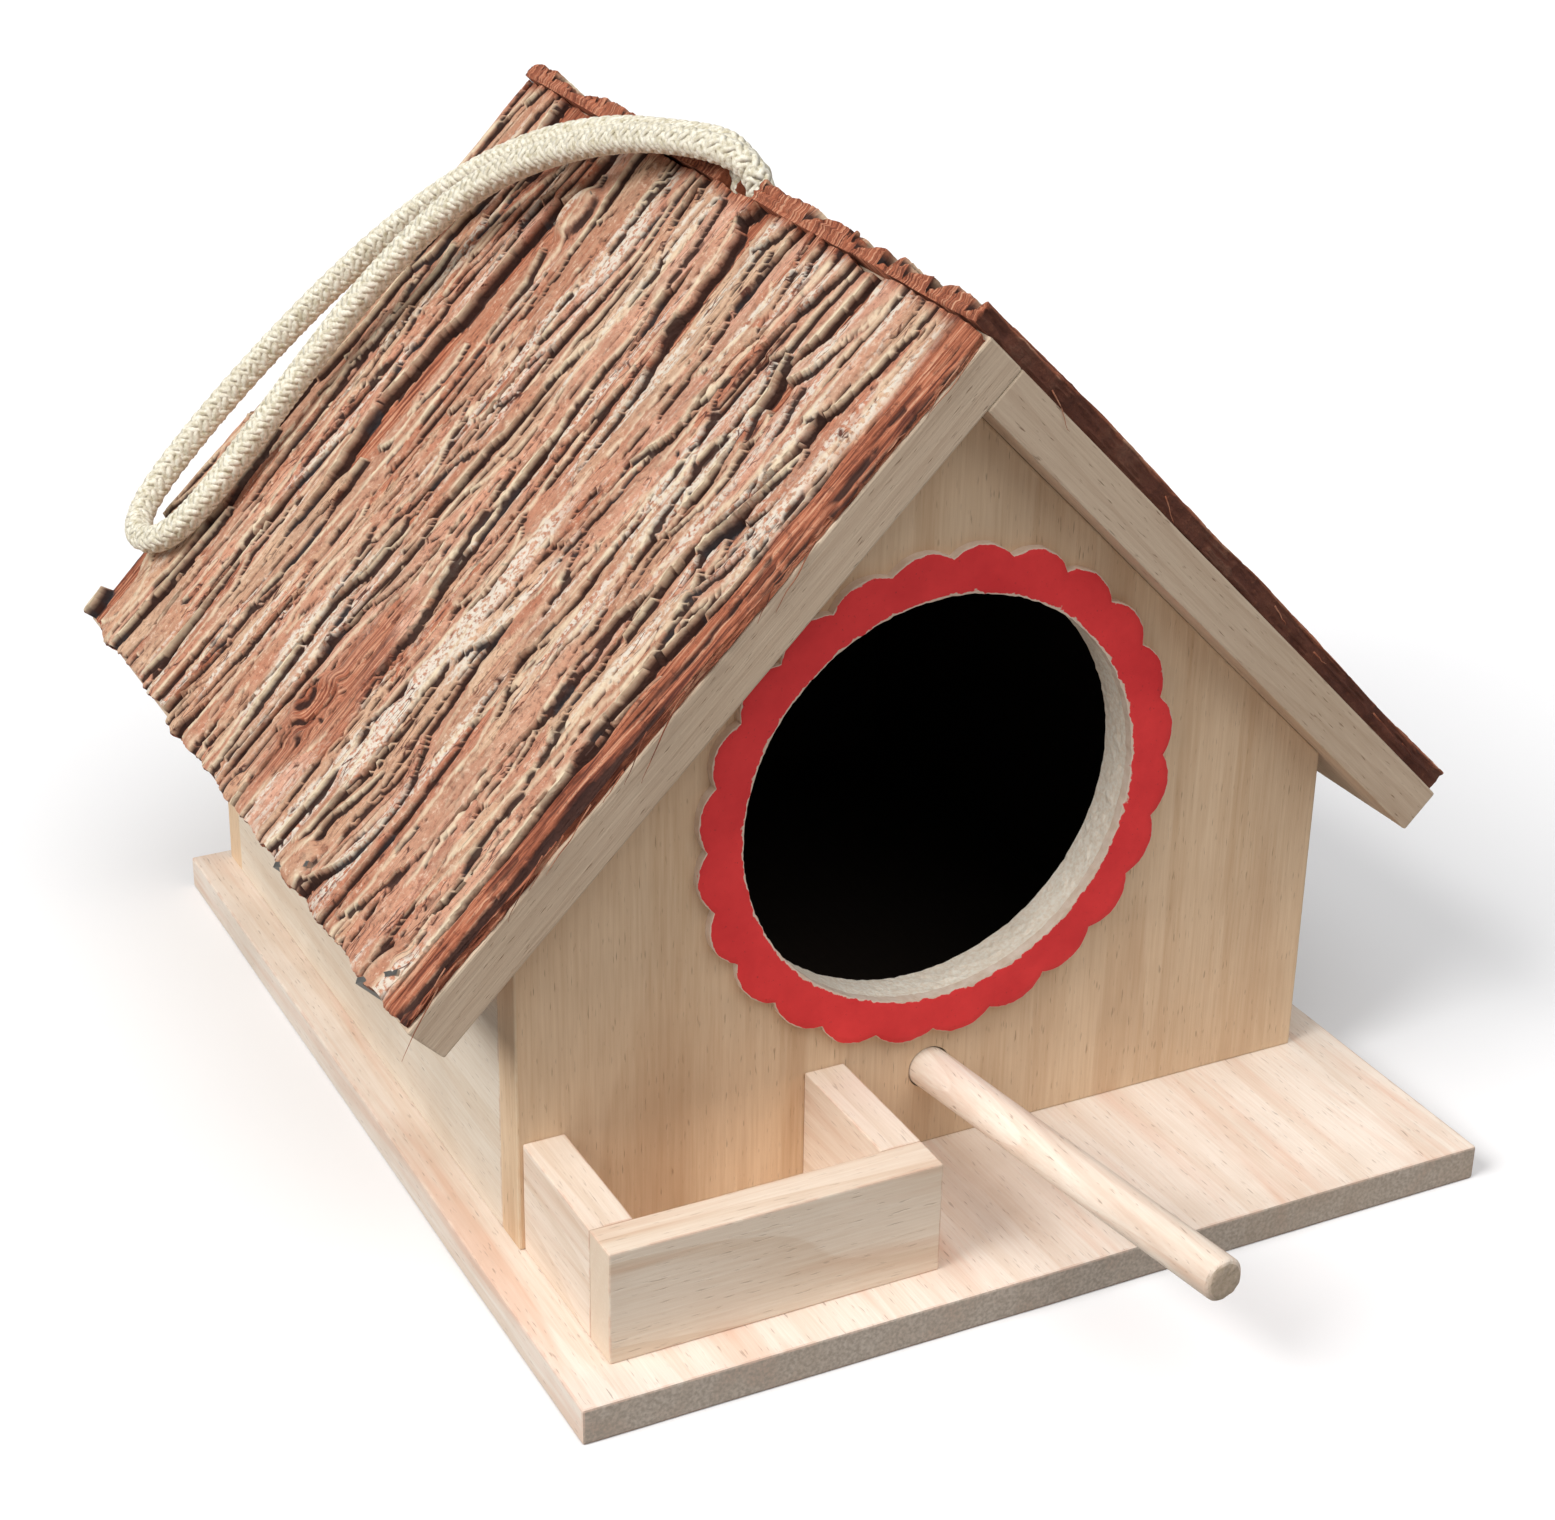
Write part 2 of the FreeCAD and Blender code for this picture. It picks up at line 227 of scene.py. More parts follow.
def points_along(curve, detail):
    """The points of a bare curve's own line, as an array."""
    curve.resolution_u = detail
    line = bpy.data.objects.new("line", curve)
    bpy.context.scene.collection.objects.link(line)
    bpy.context.view_layer.update()
    mesh = bpy.data.meshes.new_from_object(line)
    points = np.array([v.co for v in mesh.vertices])
    bpy.data.objects.remove(line)
    return points


def carried_frames(points):
    """Way, side and upward direction at each point, turning no more than the line does."""
    way = np.gradient(points, axis=0)
    way /= np.linalg.norm(way, axis=1)[:, None]
    side = np.zeros_like(way)
    side[0] = np.cross(way[0], (0.0, 1.0, 0.2))
    for i in range(len(way)):
        before = side[max(i - 1, 0)]
        side[i] = before - way[i] * (before @ way[i])
        side[i] /= np.linalg.norm(side[i])
    return way, side, np.cross(way, side)


def tube_faces(rings, sides, first=0):
    """Quads between rings of a tube, and a cap at each end."""
    i, j = np.meshgrid(np.arange(rings - 1), np.arange(sides), indexing="ij")
    k = (j + 1) % sides
    quads = np.stack([i * sides + j, i * sides + k, (i + 1) * sides + k, (i + 1) * sides + j], -1)
    faces = [tuple(q) for q in (quads.reshape(-1, 4) + first).tolist()]
    faces.append(tuple(range(first + sides - 1, first - 1, -1)))
    last = first + (rings - 1) * sides
    faces.append(tuple(range(last, last + sides)))
    return faces


def braid(name, points):
    """Yarns going round both ways, each over two and under two of the others."""
    way, side, up = carried_frames(points)
    run = np.concatenate([[0], np.cumsum(np.linalg.norm(np.diff(points, axis=0), axis=1))])
    all_points, all_faces = [], []
    for hand in (1, -1):
        for n in range(yarns_each_way):
            start = (n + (0.5 if hand < 0 else 0.0)) * 2 * math.pi / yarns_each_way
            angle = hand * 2 * math.pi * run / braid_lay + start
            crossing = (2 * hand * angle - hand * start) * yarns_each_way / (2 * math.pi)
            own = n if hand > 0 else -n
            wave = np.cos(2 * math.pi * (own + hand * crossing) / 4 - math.pi / 4)
            lift = hand * np.clip(1.5 * wave, -1, 1)
            outward = side * np.cos(angle)[:, None] + up * np.sin(angle)[:, None]
            around = up * np.cos(angle)[:, None] - side * np.sin(angle)[:, None]
            heading = way + around * (hand * 2 * math.pi * braid_radius / braid_lay)
            heading /= np.linalg.norm(heading, axis=1)[:, None]
            across = np.cross(heading, outward)
            middle = points + outward * (braid_radius + braid_lift * lift)[:, None]
            ring = []
            for c in range(yarn_sides):
                a = math.pi / 2 + 2 * math.pi * c / yarn_sides
                ring.append(middle + across * (yarn_half_width * math.cos(a))
                            + outward * (yarn_half_height * math.sin(a)))
            all_faces += tube_faces(len(points), yarn_sides, len(all_points) * len(points) * yarn_sides)
            all_points.append(np.stack(ring, 1).reshape(-1, 3))
    return mesh_of(name, np.concatenate(all_points), all_faces)


cotton, tree, shader, spot = new_material("braided cotton")
slub = noise_at(tree, spot, 900.0, 3.0, 0.6)
soiled = ranged(tree, noise_at(tree, spot, 60.0, 3.0, 0.6), 0.52, 0.75, top=0.35)
cream = ramp(tree, slub, (0.30, card(190, 180, 150)), (0.62, card(243, 238, 222)))
wire_up(tree, shader, {"Base Color": mixed(tree, soiled, cream, card(196, 184, 158)), "Roughness": 0.9,
                       "Normal": bumped(tree, slub, 0.5, 0.2 * mm),
                       "Sheen Weight": 0.3, "Sheen Roughness": 0.5})

cord_curve = soft_curve("cord_core", cord_route)
cord_points = points_along(cord_curve, 34)
cord_curve.bevel_depth = core_radius
cord_curve.bevel_resolution = 2
cord_curve.use_fill_caps = True
cord_curve.materials.append(cotton)
cord_core = bpy.data.objects.new("cord_core", cord_curve)
bpy.context.scene.collection.objects.link(cord_core)
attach(cord_core, "root")
cord_braid = add_piece("cord_braid", braid("cord_braid", cord_points), cotton,
                       ["hanging_cord"])


# ---------------------------------------------------------------- knot
# The two cord ends come together in one stopper knot under the ridge, inside the house.
# It is the same cotton, drawn up tight.
knot_low, knot_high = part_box("cord_knot")
knot_centre = (knot_low + knot_high) / 2
knot_half = (knot_high - knot_low) / 2
knot_strand = 2.5 * mm
knot_sides = 14

turns = np.linspace(0, 2 * math.pi, 145)[:-1]
loops = np.stack([np.sin(turns) + 2 * np.sin(2 * turns), np.cos(turns) - 2 * np.cos(2 * turns),
                  -np.sin(3 * turns)], 1)
room = np.array([knot_half.x, knot_half.y, knot_half.z]) - knot_strand
knot_line = loops / np.array([3.0, 3.0, 1.0]) * room + np.array(knot_centre)
knot_way = np.roll(knot_line, -1, 0) - np.roll(knot_line, 1, 0)
knot_way /= np.linalg.norm(knot_way, axis=1)[:, None]
knot_side = np.cross(knot_way, (0.0, 0.0, 1.0))
knot_side /= np.linalg.norm(knot_side, axis=1)[:, None]
knot_up = np.cross(knot_way, knot_side)
knot_ring = []
for c in range(knot_sides):
    a = 2 * math.pi * c / knot_sides
    rib = knot_strand * (1 + 0.05 * np.cos(24 * turns + 2 * a))[:, None]
    knot_ring.append(knot_line + (knot_side * math.cos(a) + knot_up * math.sin(a)) * rib)


def closed_faces(rings, sides):
    """Quads of a tube that runs back into itself."""
    faces = []
    for i in range(rings):
        j = (i + 1) % rings
        for c in range(sides):
            d = (c + 1) % sides
            faces.append((i * sides + c, i * sides + d, j * sides + d, j * sides + c))
    return faces


knot_mesh = mesh_of("stopper_knot", np.stack(knot_ring, 1).reshape(-1, 3),
                    closed_faces(len(turns), knot_sides))
knot = add_piece("stopper_knot", knot_mesh, cotton, ["cord_knot"])


# ---------------------------------------------------------------- base board
# A 7 mm board of pale poplar, planed and left raw. Its grain runs from front to back, with
# pink and straw-coloured streaks, and its arrises are just taken off with sandpaper.
arris = 0.45 * mm
slice_step = 7.0 * mm           # between the cuts that let a flat face wander
face_wander = 0.07 * mm
half_root = math.sqrt(0.5)
noise.seed_set(7)               # so that the faces wander the same way at each run


def reckon(tree, operation, *values, **settings):
    """One sum on values or sockets."""
    return place(tree, "Math", dict(enumerate(values)), operation=operation, **settings).outputs[0]


def stretched(tree, vector, factors):
    """Vector multiplied by three factors."""
    return place(tree, "VectorMath", {0: vector, 1: factors}, operation="MULTIPLY").outputs[0]


def mask_of(tree, label):
    """Mask stored on the mesh under a name."""
    return place(tree, "Attribute", attribute_name=label).outputs["Fac"]


grain_group, g_in, g_out = new_group(
    "wood grain",
    [("Along Grain", "Vector", None), ("Light", "Color", None), ("Dark", "Color", None),
     ("Streak", "Color", None), ("Streak Amount", "Float", 0.5), ("Band Spacing", "Float", 9.0),
     ("Band Amount", "Float", 0.35), ("Pore Amount", "Float", 0.5), ("Base Roughness", "Float", 0.7)],
    [("Colour", "Color"), ("Roughness", "Float"), ("Height", "Float")])
t = grain_group
along = g_in["Along Grain"]
fine = noise_at(t, stretched(t, along, (0.035, 1.0, 1.0)), 1.7, 4.0, 0.62)
wide = noise_at(t, stretched(t, along, (0.010, 0.11, 0.11)), 1.0, 3.0, 0.55, Distortion=0.6)
bend = noise_at(t, stretched(t, along, (0.006, 0.035, 0.035)), 1.0, 1.0)
split = place(t, "SeparateXYZ", {"Vector": along}).outputs
leaning = reckon(t, "MULTIPLY_ADD", split["Z"], 0.55, split["Y"])
bent = reckon(t, "MULTIPLY_ADD", bend, 26.0, leaning)
year = reckon(t, "FRACT", reckon(t, "DIVIDE", bent, g_in["Band Spacing"]))
late = ranged(t, year, 0.35, 0.97, interpolation_type="SMOOTHERSTEP")
band = reckon(t, "MULTIPLY", late, ranged(t, year, 0.97, 1.0, bottom=1.0, top=0.0))
dark_band = reckon(t, "MULTIPLY", band, g_in["Band Amount"])
darkness = reckon(t, "ADD", dark_band, ranged(t, fine, 0.34, 0.68, top=0.55), use_clamp=True)
body = mixed(t, darkness, g_in["Light"], g_in["Dark"])
streak = reckon(t, "MULTIPLY", ranged(t, wide, 0.50, 0.68), g_in["Streak Amount"])
tinted = mixed(t, streak, body, g_in["Streak"])
pore = ranged(t, noise_at(t, stretched(t, along, (0.30, 2.6, 2.6)), 1.0, 1.5, 0.4), 0.66, 0.76)
pored = mixed(t, reckon(t, "MULTIPLY", pore, g_in["Pore Amount"]), tinted, card(122, 84, 58))
t.links.new(pored, g_out["Colour"])
fine_rough = reckon(t, "MULTIPLY_ADD", fine, 0.18, g_in["Base Roughness"], use_clamp=True)
t.links.new(fine_rough, g_out["Roughness"])
t.links.new(reckon(t, "MULTIPLY_ADD", pore, -0.7, fine), g_out["Height"])

# Board surface: end grain, rubbed arrises and smudges, and painted shade that turns the faces inside the
# closed house near black.
wear_and_indoor_shade_group, f_in, f_out = new_group(
    "handled board with painted indoor shade",
    [("Position", "Vector", None), ("Colour", "Color", None), ("Arris", "Float", 0.0),
     ("Arris Colour", "Color", None), ("Arris Amount", "Float", 0.5), ("Painted Indoor Shade", "Float", 0.0),
     ("Smudge Amount", "Float", 0.25), ("End Grain", "Float", 0.0), ("End Colour", "Color", None)],
    [("Colour", "Color")])
t = wear_and_indoor_shade_group
handled = f_in["Position"]
straw = ranged(t, noise_at(t, handled, 1500.0), 0.35, 0.65, bottom=0.60)
ended = mixed(t, reckon(t, "MULTIPLY", f_in["End Grain"], straw), f_in["Colour"], f_in["End Colour"])
broken = ranged(t, noise_at(t, handled, 260.0), 0.36, 0.60)
edge = reckon(t, "MULTIPLY", reckon(t, "MULTIPLY", broken, f_in["Arris"]), f_in["Arris Amount"])
edged = mixed(t, edge, ended, f_in["Arris Colour"])
smudge = ranged(t, noise_at(t, handled, 24.0, 4.0, 0.6), 0.48, 0.72)
smudged = mixed(t, reckon(t, "MULTIPLY", smudge, f_in["Smudge Amount"]), edged, card(176, 150, 122))
# Painted shade: faces inside the closed house are mixed to a near-black brown.
t.links.new(mixed(t, f_in["Painted Indoor Shade"], smudged, card(38, 28, 20)), f_out["Colour"])

grain_ways = {           # how the grain's frame is turned, and the way the grain runs
    "X": ((0.0, 0.0, 0.0), (1.0, 0.0, 0.0)),
    "Y": ((0.0, 0.0, -math.pi / 2), (0.0, 1.0, 0.0)),
    "Z": ((0.0, math.pi / 2, 0.0), (0.0, 0.0, 1.0)),
    "left slope": ((0.0, math.pi / 4, 0.0), (half_root, 0.0, half_root)),
    "right slope": ((0.0, -math.pi / 4, 0.0), (half_root, 0.0, -half_root))}


def raw_wood(name, light, dark, streak_colour, grain="Y", streak_amount=0.5, band_spacing=9.0,
             band_amount=0.35, pore_share=0.4, arris_colour=card(196, 150, 120), smudge_share=0.25,
             base_roughness=0.68, relief=0.10 * mm, end_colour=card(180, 162, 140)):
    """Unfinished poplar or birch with its grain along one of the grain ways."""
    made, tree, shader, spot = new_material(name)
    turned, axis = grain_ways[grain]
    in_mm = place(tree, "Mapping", {"Vector": spot, "Rotation": turned, "Scale": (1000.0, 1000.0, 1000.0)})
    cut = place(tree, "Group", {
        "Along Grain": in_mm.outputs[0], "Light": light, "Dark": dark, "Streak": streak_colour,
        "Streak Amount": streak_amount, "Band Spacing": band_spacing, "Band Amount": band_amount,
        "Pore Amount": pore_share, "Base Roughness": base_roughness}, node_tree=grain_group).outputs
    facing = place(tree, "NewGeometry").outputs["True Normal"]
    to_end = place(tree, "VectorMath", {0: facing, 1: axis}, operation="DOT_PRODUCT").outputs["Value"]
    end_face = ranged(tree, reckon(tree, "ABSOLUTE", to_end), 0.75, 0.95)
    # This group also paints the faces inside the house near black, as painted shade.
    worn = place(tree, "Group", {
        "Position": spot, "Colour": cut["Colour"], "Arris": mask_of(tree, "arris"),
        "Arris Colour": arris_colour, "Painted Indoor Shade": mask_of(tree, "painted_indoor_shade"), "Smudge Amount": smudge_share,
        "End Grain": reckon(tree, "MAXIMUM", end_face, mask_of(tree, "fresh")),
        "End Colour": end_colour}, node_tree=wear_and_indoor_shade_group)
    wire_up(tree, shader, {"Base Color": worn.outputs["Colour"], "Roughness": cut["Roughness"],
                           "Normal": bumped(tree, cut["Height"], 0.6, relief)})
    return made


left_wall_low, left_wall_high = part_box("left_wall")
right_wall_low, right_wall_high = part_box("right_wall")
base_low, base_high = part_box("base_board")
panel_low, panel_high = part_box("front_panel")
house_middle = (panel_low.x + panel_high.x) / 2


def is_indoors(p):
    """True for a point on a face that looks into the closed house."""
    low = Vector((left_wall_high.x, left_wall_low.y, base_high.z)) - Vector((1, 1, 1)) * 1.5 * mm
    high = Vector((right_wall_low.x, left_wall_high.y, 1.0)) + Vector((1, 1, 0)) * 1.5 * mm
    inside = all(low[k] < p[k] < high[k] for k in range(3))
    return inside and p.z < panel_high.z - abs(p.x - house_middle) + 0.5 * mm


def round_cutter(foot, way, radius, length, sides=32, rows=1, rough=0.0):
    """Object that cuts a round hole; `rough` tears its wall a little."""
    way = Vector(way).normalized()
    side = way.orthogonal().normalized()
    other = way.cross(side)
    bm = bmesh.new()
    rings = []
    for k in range(rows + 1):
        ring = []
        for n in range(sides):
            a = 2 * math.pi * n / sides
            spoke = side * math.cos(a) + other * math.sin(a)
            p = Vector(foot) + way * (length * k / rows) + spoke * radius
            p += spoke * (rough * (noise.noise(p * 900.0) + 0.6 * noise.noise(p * 300.0)))
            ring.append(bm.verts.new(p))
        rings.append(ring)
    for lower, upper in zip(rings, rings[1:]):
        for n in range(sides):
            m = (n + 1) % sides
            bm.faces.new((lower[n], lower[m], upper[m], upper[n]))
    bm.faces.new(rings[0][::-1])
    bm.faces.new(rings[-1])
    bmesh.ops.recalc_face_normals(bm, faces=bm.faces[:])
    fresh = bm.faces.layers.float.new("fresh")
    for f in bm.faces:
        f[fresh] = 1.0
    mesh = bpy.data.meshes.new("cutter")
    bm.to_mesh(mesh)
    bm.free()
    cutter = bpy.data.objects.new("cutter", mesh)
    bpy.context.scene.collection.objects.link(cutter)
    return cutter


def holed(bm, cutters):
    """The same board with the cutters taken out of it; the cutters are used up."""
    mesh = bpy.data.meshes.new("uncut")
    bm.to_mesh(mesh)
    bm.free()
    board = bpy.data.objects.new("uncut", mesh)
    bpy.context.scene.collection.objects.link(board)
    for cutter in cutters:
        modifier = board.modifiers.new("hole", "BOOLEAN")
        modifier.object = cutter
        modifier.operation = "DIFFERENCE"
        modifier.solver = "EXACT"
    bpy.context.view_layer.update()
    cut = bpy.data.meshes.new_from_object(board.evaluated_get(bpy.context.evaluated_depsgraph_get()))
    for used in list(cutters) + [board]:
        bpy.data.objects.remove(used)
    done = bmesh.new()
    done.from_mesh(cut)
    bmesh.ops.triangulate(done, faces=done.faces[:])
    bpy.data.meshes.remove(cut)
    return done


def sawn_board(name, corners, depth, cutters=(), eased=arris, step=slice_step, wander=face_wander):
    """Board from its end outline pushed along `depth`: eased arrises, faces not quite flat."""
    bm = bmesh.new()
    face = bm.faces.new([bm.verts.new(c) for c in corners])
    pushed = bmesh.ops.extrude_face_region(bm, geom=[face])
    moved = [g for g in pushed["geom"] if isinstance(g, bmesh.types.BMVert)]
    bmesh.ops.translate(bm, verts=moved, vec=depth)
    bmesh.ops.recalc_face_normals(bm, faces=bm.faces[:])
    worn = bm.faces.layers.float.new("arris")
    rounded = bmesh.ops.bevel(bm, geom=bm.edges[:], offset=eased, segments=2, profile=0.55,
                              affect="EDGES", clamp_overlap=True)
    for f in rounded["faces"]:
        f[worn] = 1.0
    if cutters:
        bm = holed(bm, cutters)
    spots = np.array([v.co for v in bm.verts])
    low, high = spots.min(0), spots.max(0)
    for axis in range(3):
        cuts = int((high[axis] - low[axis]) / step)
        for n in range(cuts):
            at = [0.0, 0.0, 0.0]
            at[axis] = low[axis] + (n + 0.63) * (high[axis] - low[axis]) / cuts
            way = [0.0, 0.0, 0.0]
            way[axis] = 1.0
            bmesh.ops.bisect_plane(bm, geom=bm.verts[:] + bm.edges[:] + bm.faces[:], plane_co=at,
                                   plane_no=way, dist=1e-7)
    for v in bm.verts:
        slow = noise.noise_vector(v.co * 45.0)
        quick = noise.noise_vector(v.co * 230.0)
        v.co += slow * wander + quick * (0.45 * wander)
    # Mask for painted shade on the faces inside the closed house; the walls of the cut holes stay bare.
    shade = bm.faces.layers.float.new("painted_indoor_shade")
    fresh = bm.faces.layers.float.get("fresh")
    for f in bm.faces:
        hole_wall = fresh is not None and f[fresh] > 0.5
        tested = [f.calc_center_median()]
        if f.normal.z < 0.3 and abs(f.normal.x) < 0.1:
            tested += [v.co for v in f.verts]
        painted_indoor_shade = any(is_indoors(p + f.normal * 0.4 * mm) for p in tested)
        f[shade] = 1.0 if painted_indoor_shade and not hole_wall else 0.0
    mesh = bpy.data.meshes.new(name)
    bm.to_mesh(mesh)
    bm.free()
    return mesh


def box_corners(low, high, axis=1):
    """Corners of a box's end that looks back along an axis, and the push to its other end."""
    a, b = [k for k in range(3) if k != axis]
    corners = []
    for pick_a, pick_b in ((0, 0), (1, 0), (1, 1), (0, 1)):
        c = Vector(low)
        c[a] = (low, high)[pick_a][a]
        c[b] = (low, high)[pick_b][b]
        corners.append(c)
    push = Vector((0, 0, 0))
    push[axis] = high[axis] - low[axis]
    return corners, push


base_wood = raw_wood("planed poplar, base", card(246, 234, 222), card(232, 212, 194), card(226, 182, 156),
                     grain="Y", streak_amount=0.6, band_spacing=13.0, band_amount=0.45,
                     arris_colour=card(214, 176, 156), end_colour=card(178, 164, 150))
corners, push = box_corners(base_low, base_high)
base = add_piece("base_board_planed", sawn_board("base_board_planed", corners, push), base_wood,
                 ["base_board"])


# ---------------------------------------------------------------- gable panels
# Front and back are five-sided 8 mm panels with upright grain. The front one has the round
# entrance, cut with a hole saw that tore the wall of the hole, and the hole for the perch.
back_low, back_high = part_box("back_panel")
ring_low, ring_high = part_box("entrance_ring")
entrance = Vector(((ring_low.x + ring_high.x) / 2, panel_low.y, (ring_low.z + ring_high.z) / 2))
entrance_radius = 40.0 * mm
perch_radius = 4.0 * mm
perch_turn = math.radians(7.0)
perch_rise = math.radians(1.0)
perch_way = Vector((math.sin(perch_turn) * math.cos(perch_rise),
                    -math.cos(perch_turn) * math.cos(perch_rise), math.sin(perch_rise)))
perch_mouth = Vector((house_middle - 0.5 * mm, panel_low.y, base_high.z + 16.3 * mm))
eave_rise = (panel_high.x - panel_low.x) / 2

panel_wood = raw_wood("planed poplar, panels", card(232, 204, 172), card(210, 176, 140),
                      card(184, 140, 100), grain="Z", streak_amount=0.35, band_spacing=14.0, band_amount=0.28, pore_share=0.45,
                      arris_colour=card(226, 206, 178), end_colour=card(250, 242, 228))


def gable_corners(low, high):
    """Five corners of a gable panel's front face."""
    eave_z = high.z - eave_rise
    return [Vector((low.x, low.y, low.z)), Vector((high.x, low.y, low.z)), Vector((high.x, low.y, eave_z)),
            Vector((house_middle, low.y, high.z)), Vector((low.x, low.y, eave_z))]


front_holes = [
    round_cutter(entrance - Vector((0, 6 * mm, 0)), (0, 1, 0), entrance_radius, 20 * mm, sides=220,
                 rows=20, rough=0.22 * mm),
    round_cutter(perch_mouth - perch_way * 20 * mm, perch_way, perch_radius + 0.3 * mm, 40 * mm, sides=40,
                 rows=30, rough=0.10 * mm)]
front_mesh = sawn_board("front_panel_planed", gable_corners(panel_low, panel_high),
                        Vector((0, panel_high.y - panel_low.y, 0)), front_holes)
add_piece("front_panel_planed", front_mesh, panel_wood, ["front_panel"])
back_mesh = sawn_board("back_panel_planed", gable_corners(back_low, back_high),
                       Vector((0, back_high.y - back_low.y, 0)))
add_piece("back_panel_planed", back_mesh, panel_wood, ["back_panel"])


# ---------------------------------------------------------------- side walls
# Two low walls stand between the gable panels, glued and nailed. They are cut from a
# whiter board, and their tops are bevelled to the roof's slope.
wall_wood = raw_wood("planed poplar, walls", card(236, 224, 208), card(216, 196, 172), card(206, 172, 140),
                     grain="Y", streak_amount=0.3, band_spacing=16.0, band_amount=0.25)
for name, low, high, outer_left in (("left_wall", left_wall_low, left_wall_high, True),
                                    ("right_wall", right_wall_low, right_wall_high, False)):
    eave_z = high.z - (high.x - low.x)
    tops = (eave_z, high.z) if outer_left else (high.z, eave_z)
    outline = [Vector((low.x, low.y, low.z)), Vector((high.x, low.y, low.z)),
               Vector((high.x, low.y, tops[1])), Vector((low.x, low.y, tops[0]))]
    let_in = Vector((0, 0.3 * mm, 0))
    wall_mesh = sawn_board(name + "_planed", [p - let_in for p in outline],
                           Vector((0, high.y - low.y, 0)) + 2 * let_in)
    add_piece(name + "_planed", wall_mesh, wall_wood, [name])


# ---------------------------------------------------------------- roof boards
# Two 9 mm boards meet at a right angle; the left one runs over the ridge and the right one
# butts under it. Their front ends show sawn end grain, grey-cream with fine pores.
board_thick = 9.0 * mm
rafter = 139.0 * mm
roof_low, roof_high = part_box("roof_board_left")
roof_front, roof_back = roof_low.y, roof_high.y
apex = Vector((house_middle, 0, panel_high.z))
slopes = {"left": (Vector((-half_root, 0, -half_root)), Vector((-half_root, 0, half_root))),
          "right": (Vector((half_root, 0, -half_root)), Vector((half_root, 0, half_root)))}
cord_hole_x = 0.0 * mm
cord_hole_ys = (15.6 * mm, 22.6 * mm)
cord_hole_radius = 3.6 * mm

for side_name, start in (("left", -board_thick), ("right", 0.0)):
    down, out = slopes[side_name]
    roof_wood = raw_wood("sawn poplar, roof " + side_name, card(214, 192, 168), card(194, 168, 144),
                         card(166, 136, 110), grain=side_name + " slope", streak_amount=0.45,
                         band_spacing=3.6, band_amount=0.35, pore_share=0.7, base_roughness=0.75,
                         relief=0.25 * mm, arris_colour=card(214, 196, 172), end_colour=card(194, 176, 150))
    outline = [apex + down * s + out * t + Vector((0, roof_front, 0))
               for s, t in ((start, 0.0), (rafter, 0.0), (rafter, board_thick), (start, board_thick))]
    cord_holes = [round_cutter((cord_hole_x, y, apex.z - 12 * mm), (0, 0, 1), cord_hole_radius, 40 * mm)
                  for y in cord_hole_ys]
    node_name = "roof_board_" + side_name
    roof_mesh = sawn_board(node_name + "_sawn", outline, Vector((0, roof_back - roof_front, 0)), cord_holes)
    add_piece(node_name + "_sawn", roof_mesh, roof_wood, [node_name])


# ---------------------------------------------------------------- bark
# Each slope is covered with one sheet of rough tree bark, glued and stapled down. Long
# flakes run from ridge to eave and overlap like shingles, over orange inner bark. The sheets'
# edges are torn, and the left one has a small scar, a silvery streak and a worn patch.
bark_grid_down = 0.70 * mm
bark_grid_along = 0.50 * mm
flake_layers = (                # number, lengths, half widths, heights, and rises to the front, in mm
    (60, (60, 150), (3.4, 7.4), (0.8, 1.4), (1.2, 2.1)),
    (96, (30, 110), (2.6, 6.0), (1.3, 2.1), (1.2, 2.2)),
    (90, (8, 46), (1.2, 3.2), (2.0, 2.9), (0.6, 1.5)))
bark_cracks = 60
skirt_rows = 9                  # between a sheet's torn edge and its underside
bark_hole_x = 0.8 * mm          # the holes were bored a little aside of the boards' own
bark_hole_radius = 3.2 * mm


def chance(u, v, seed):
    """Smooth random field of two coordinates, 0 to 1, one cell to the unit."""
    iu, iv = np.floor(u).astype(np.int64), np.floor(v).astype(np.int64)
    fu, fv = u - iu, v - iv
    fu, fv = fu * fu * (3 - 2 * fu), fv * fv * (3 - 2 * fv)

    def corner(a, b):
        h = (a * 374761393 + b * 668265263 + seed * 974634777) & 0xFFFFFFFF
        h = ((h ^ (h >> 13)) * 1274126177) & 0xFFFFFFFF
        return ((h ^ (h >> 16)) & 0xFFFF) / 65535.0

    top = corner(iu, iv) * (1 - fu) + corner(iu + 1, iv) * fu
    low = corner(iu, iv + 1) * (1 - fu) + corner(iu + 1, iv + 1) * fu
    return top * (1 - fv) + low * fv


def rough_field(u, v, seed, octaves=3):
    """Sum of ever finer random fields, about -1 to 1."""
    total, size, weight = 0.0, 1.0, 1.0
    for k in range(octaves):
        total = total + (chance(u * size, v * size, seed + 17 * k) * 2 - 1) * weight
        size, weight = size * 2.03, weight * 0.52
    return total / 1.5


def smooth_step(x, low, high):
    """0 below `low`, 1 above `high`, eased between."""
    x = np.clip((x - low) / (high - low), 0, 1)
    return x * x * (3 - 2 * x)


def spread(field, cells):
    """Field averaged over a square of neighbours."""
    for axis in (0, 1):
        pad = [(cells, cells) if k == axis else (0, 0) for k in range(2)]
        total = np.cumsum(np.pad(field, pad, mode="edge"), axis=axis)
        take = [slice(None), slice(None)]
        take[axis] = slice(2 * cells, None)
        less = [slice(None), slice(None)]
        less[axis] = slice(0, -2 * cells)
        field = (total[tuple(take)] - total[tuple(less)]) / (2 * cells)
    return field


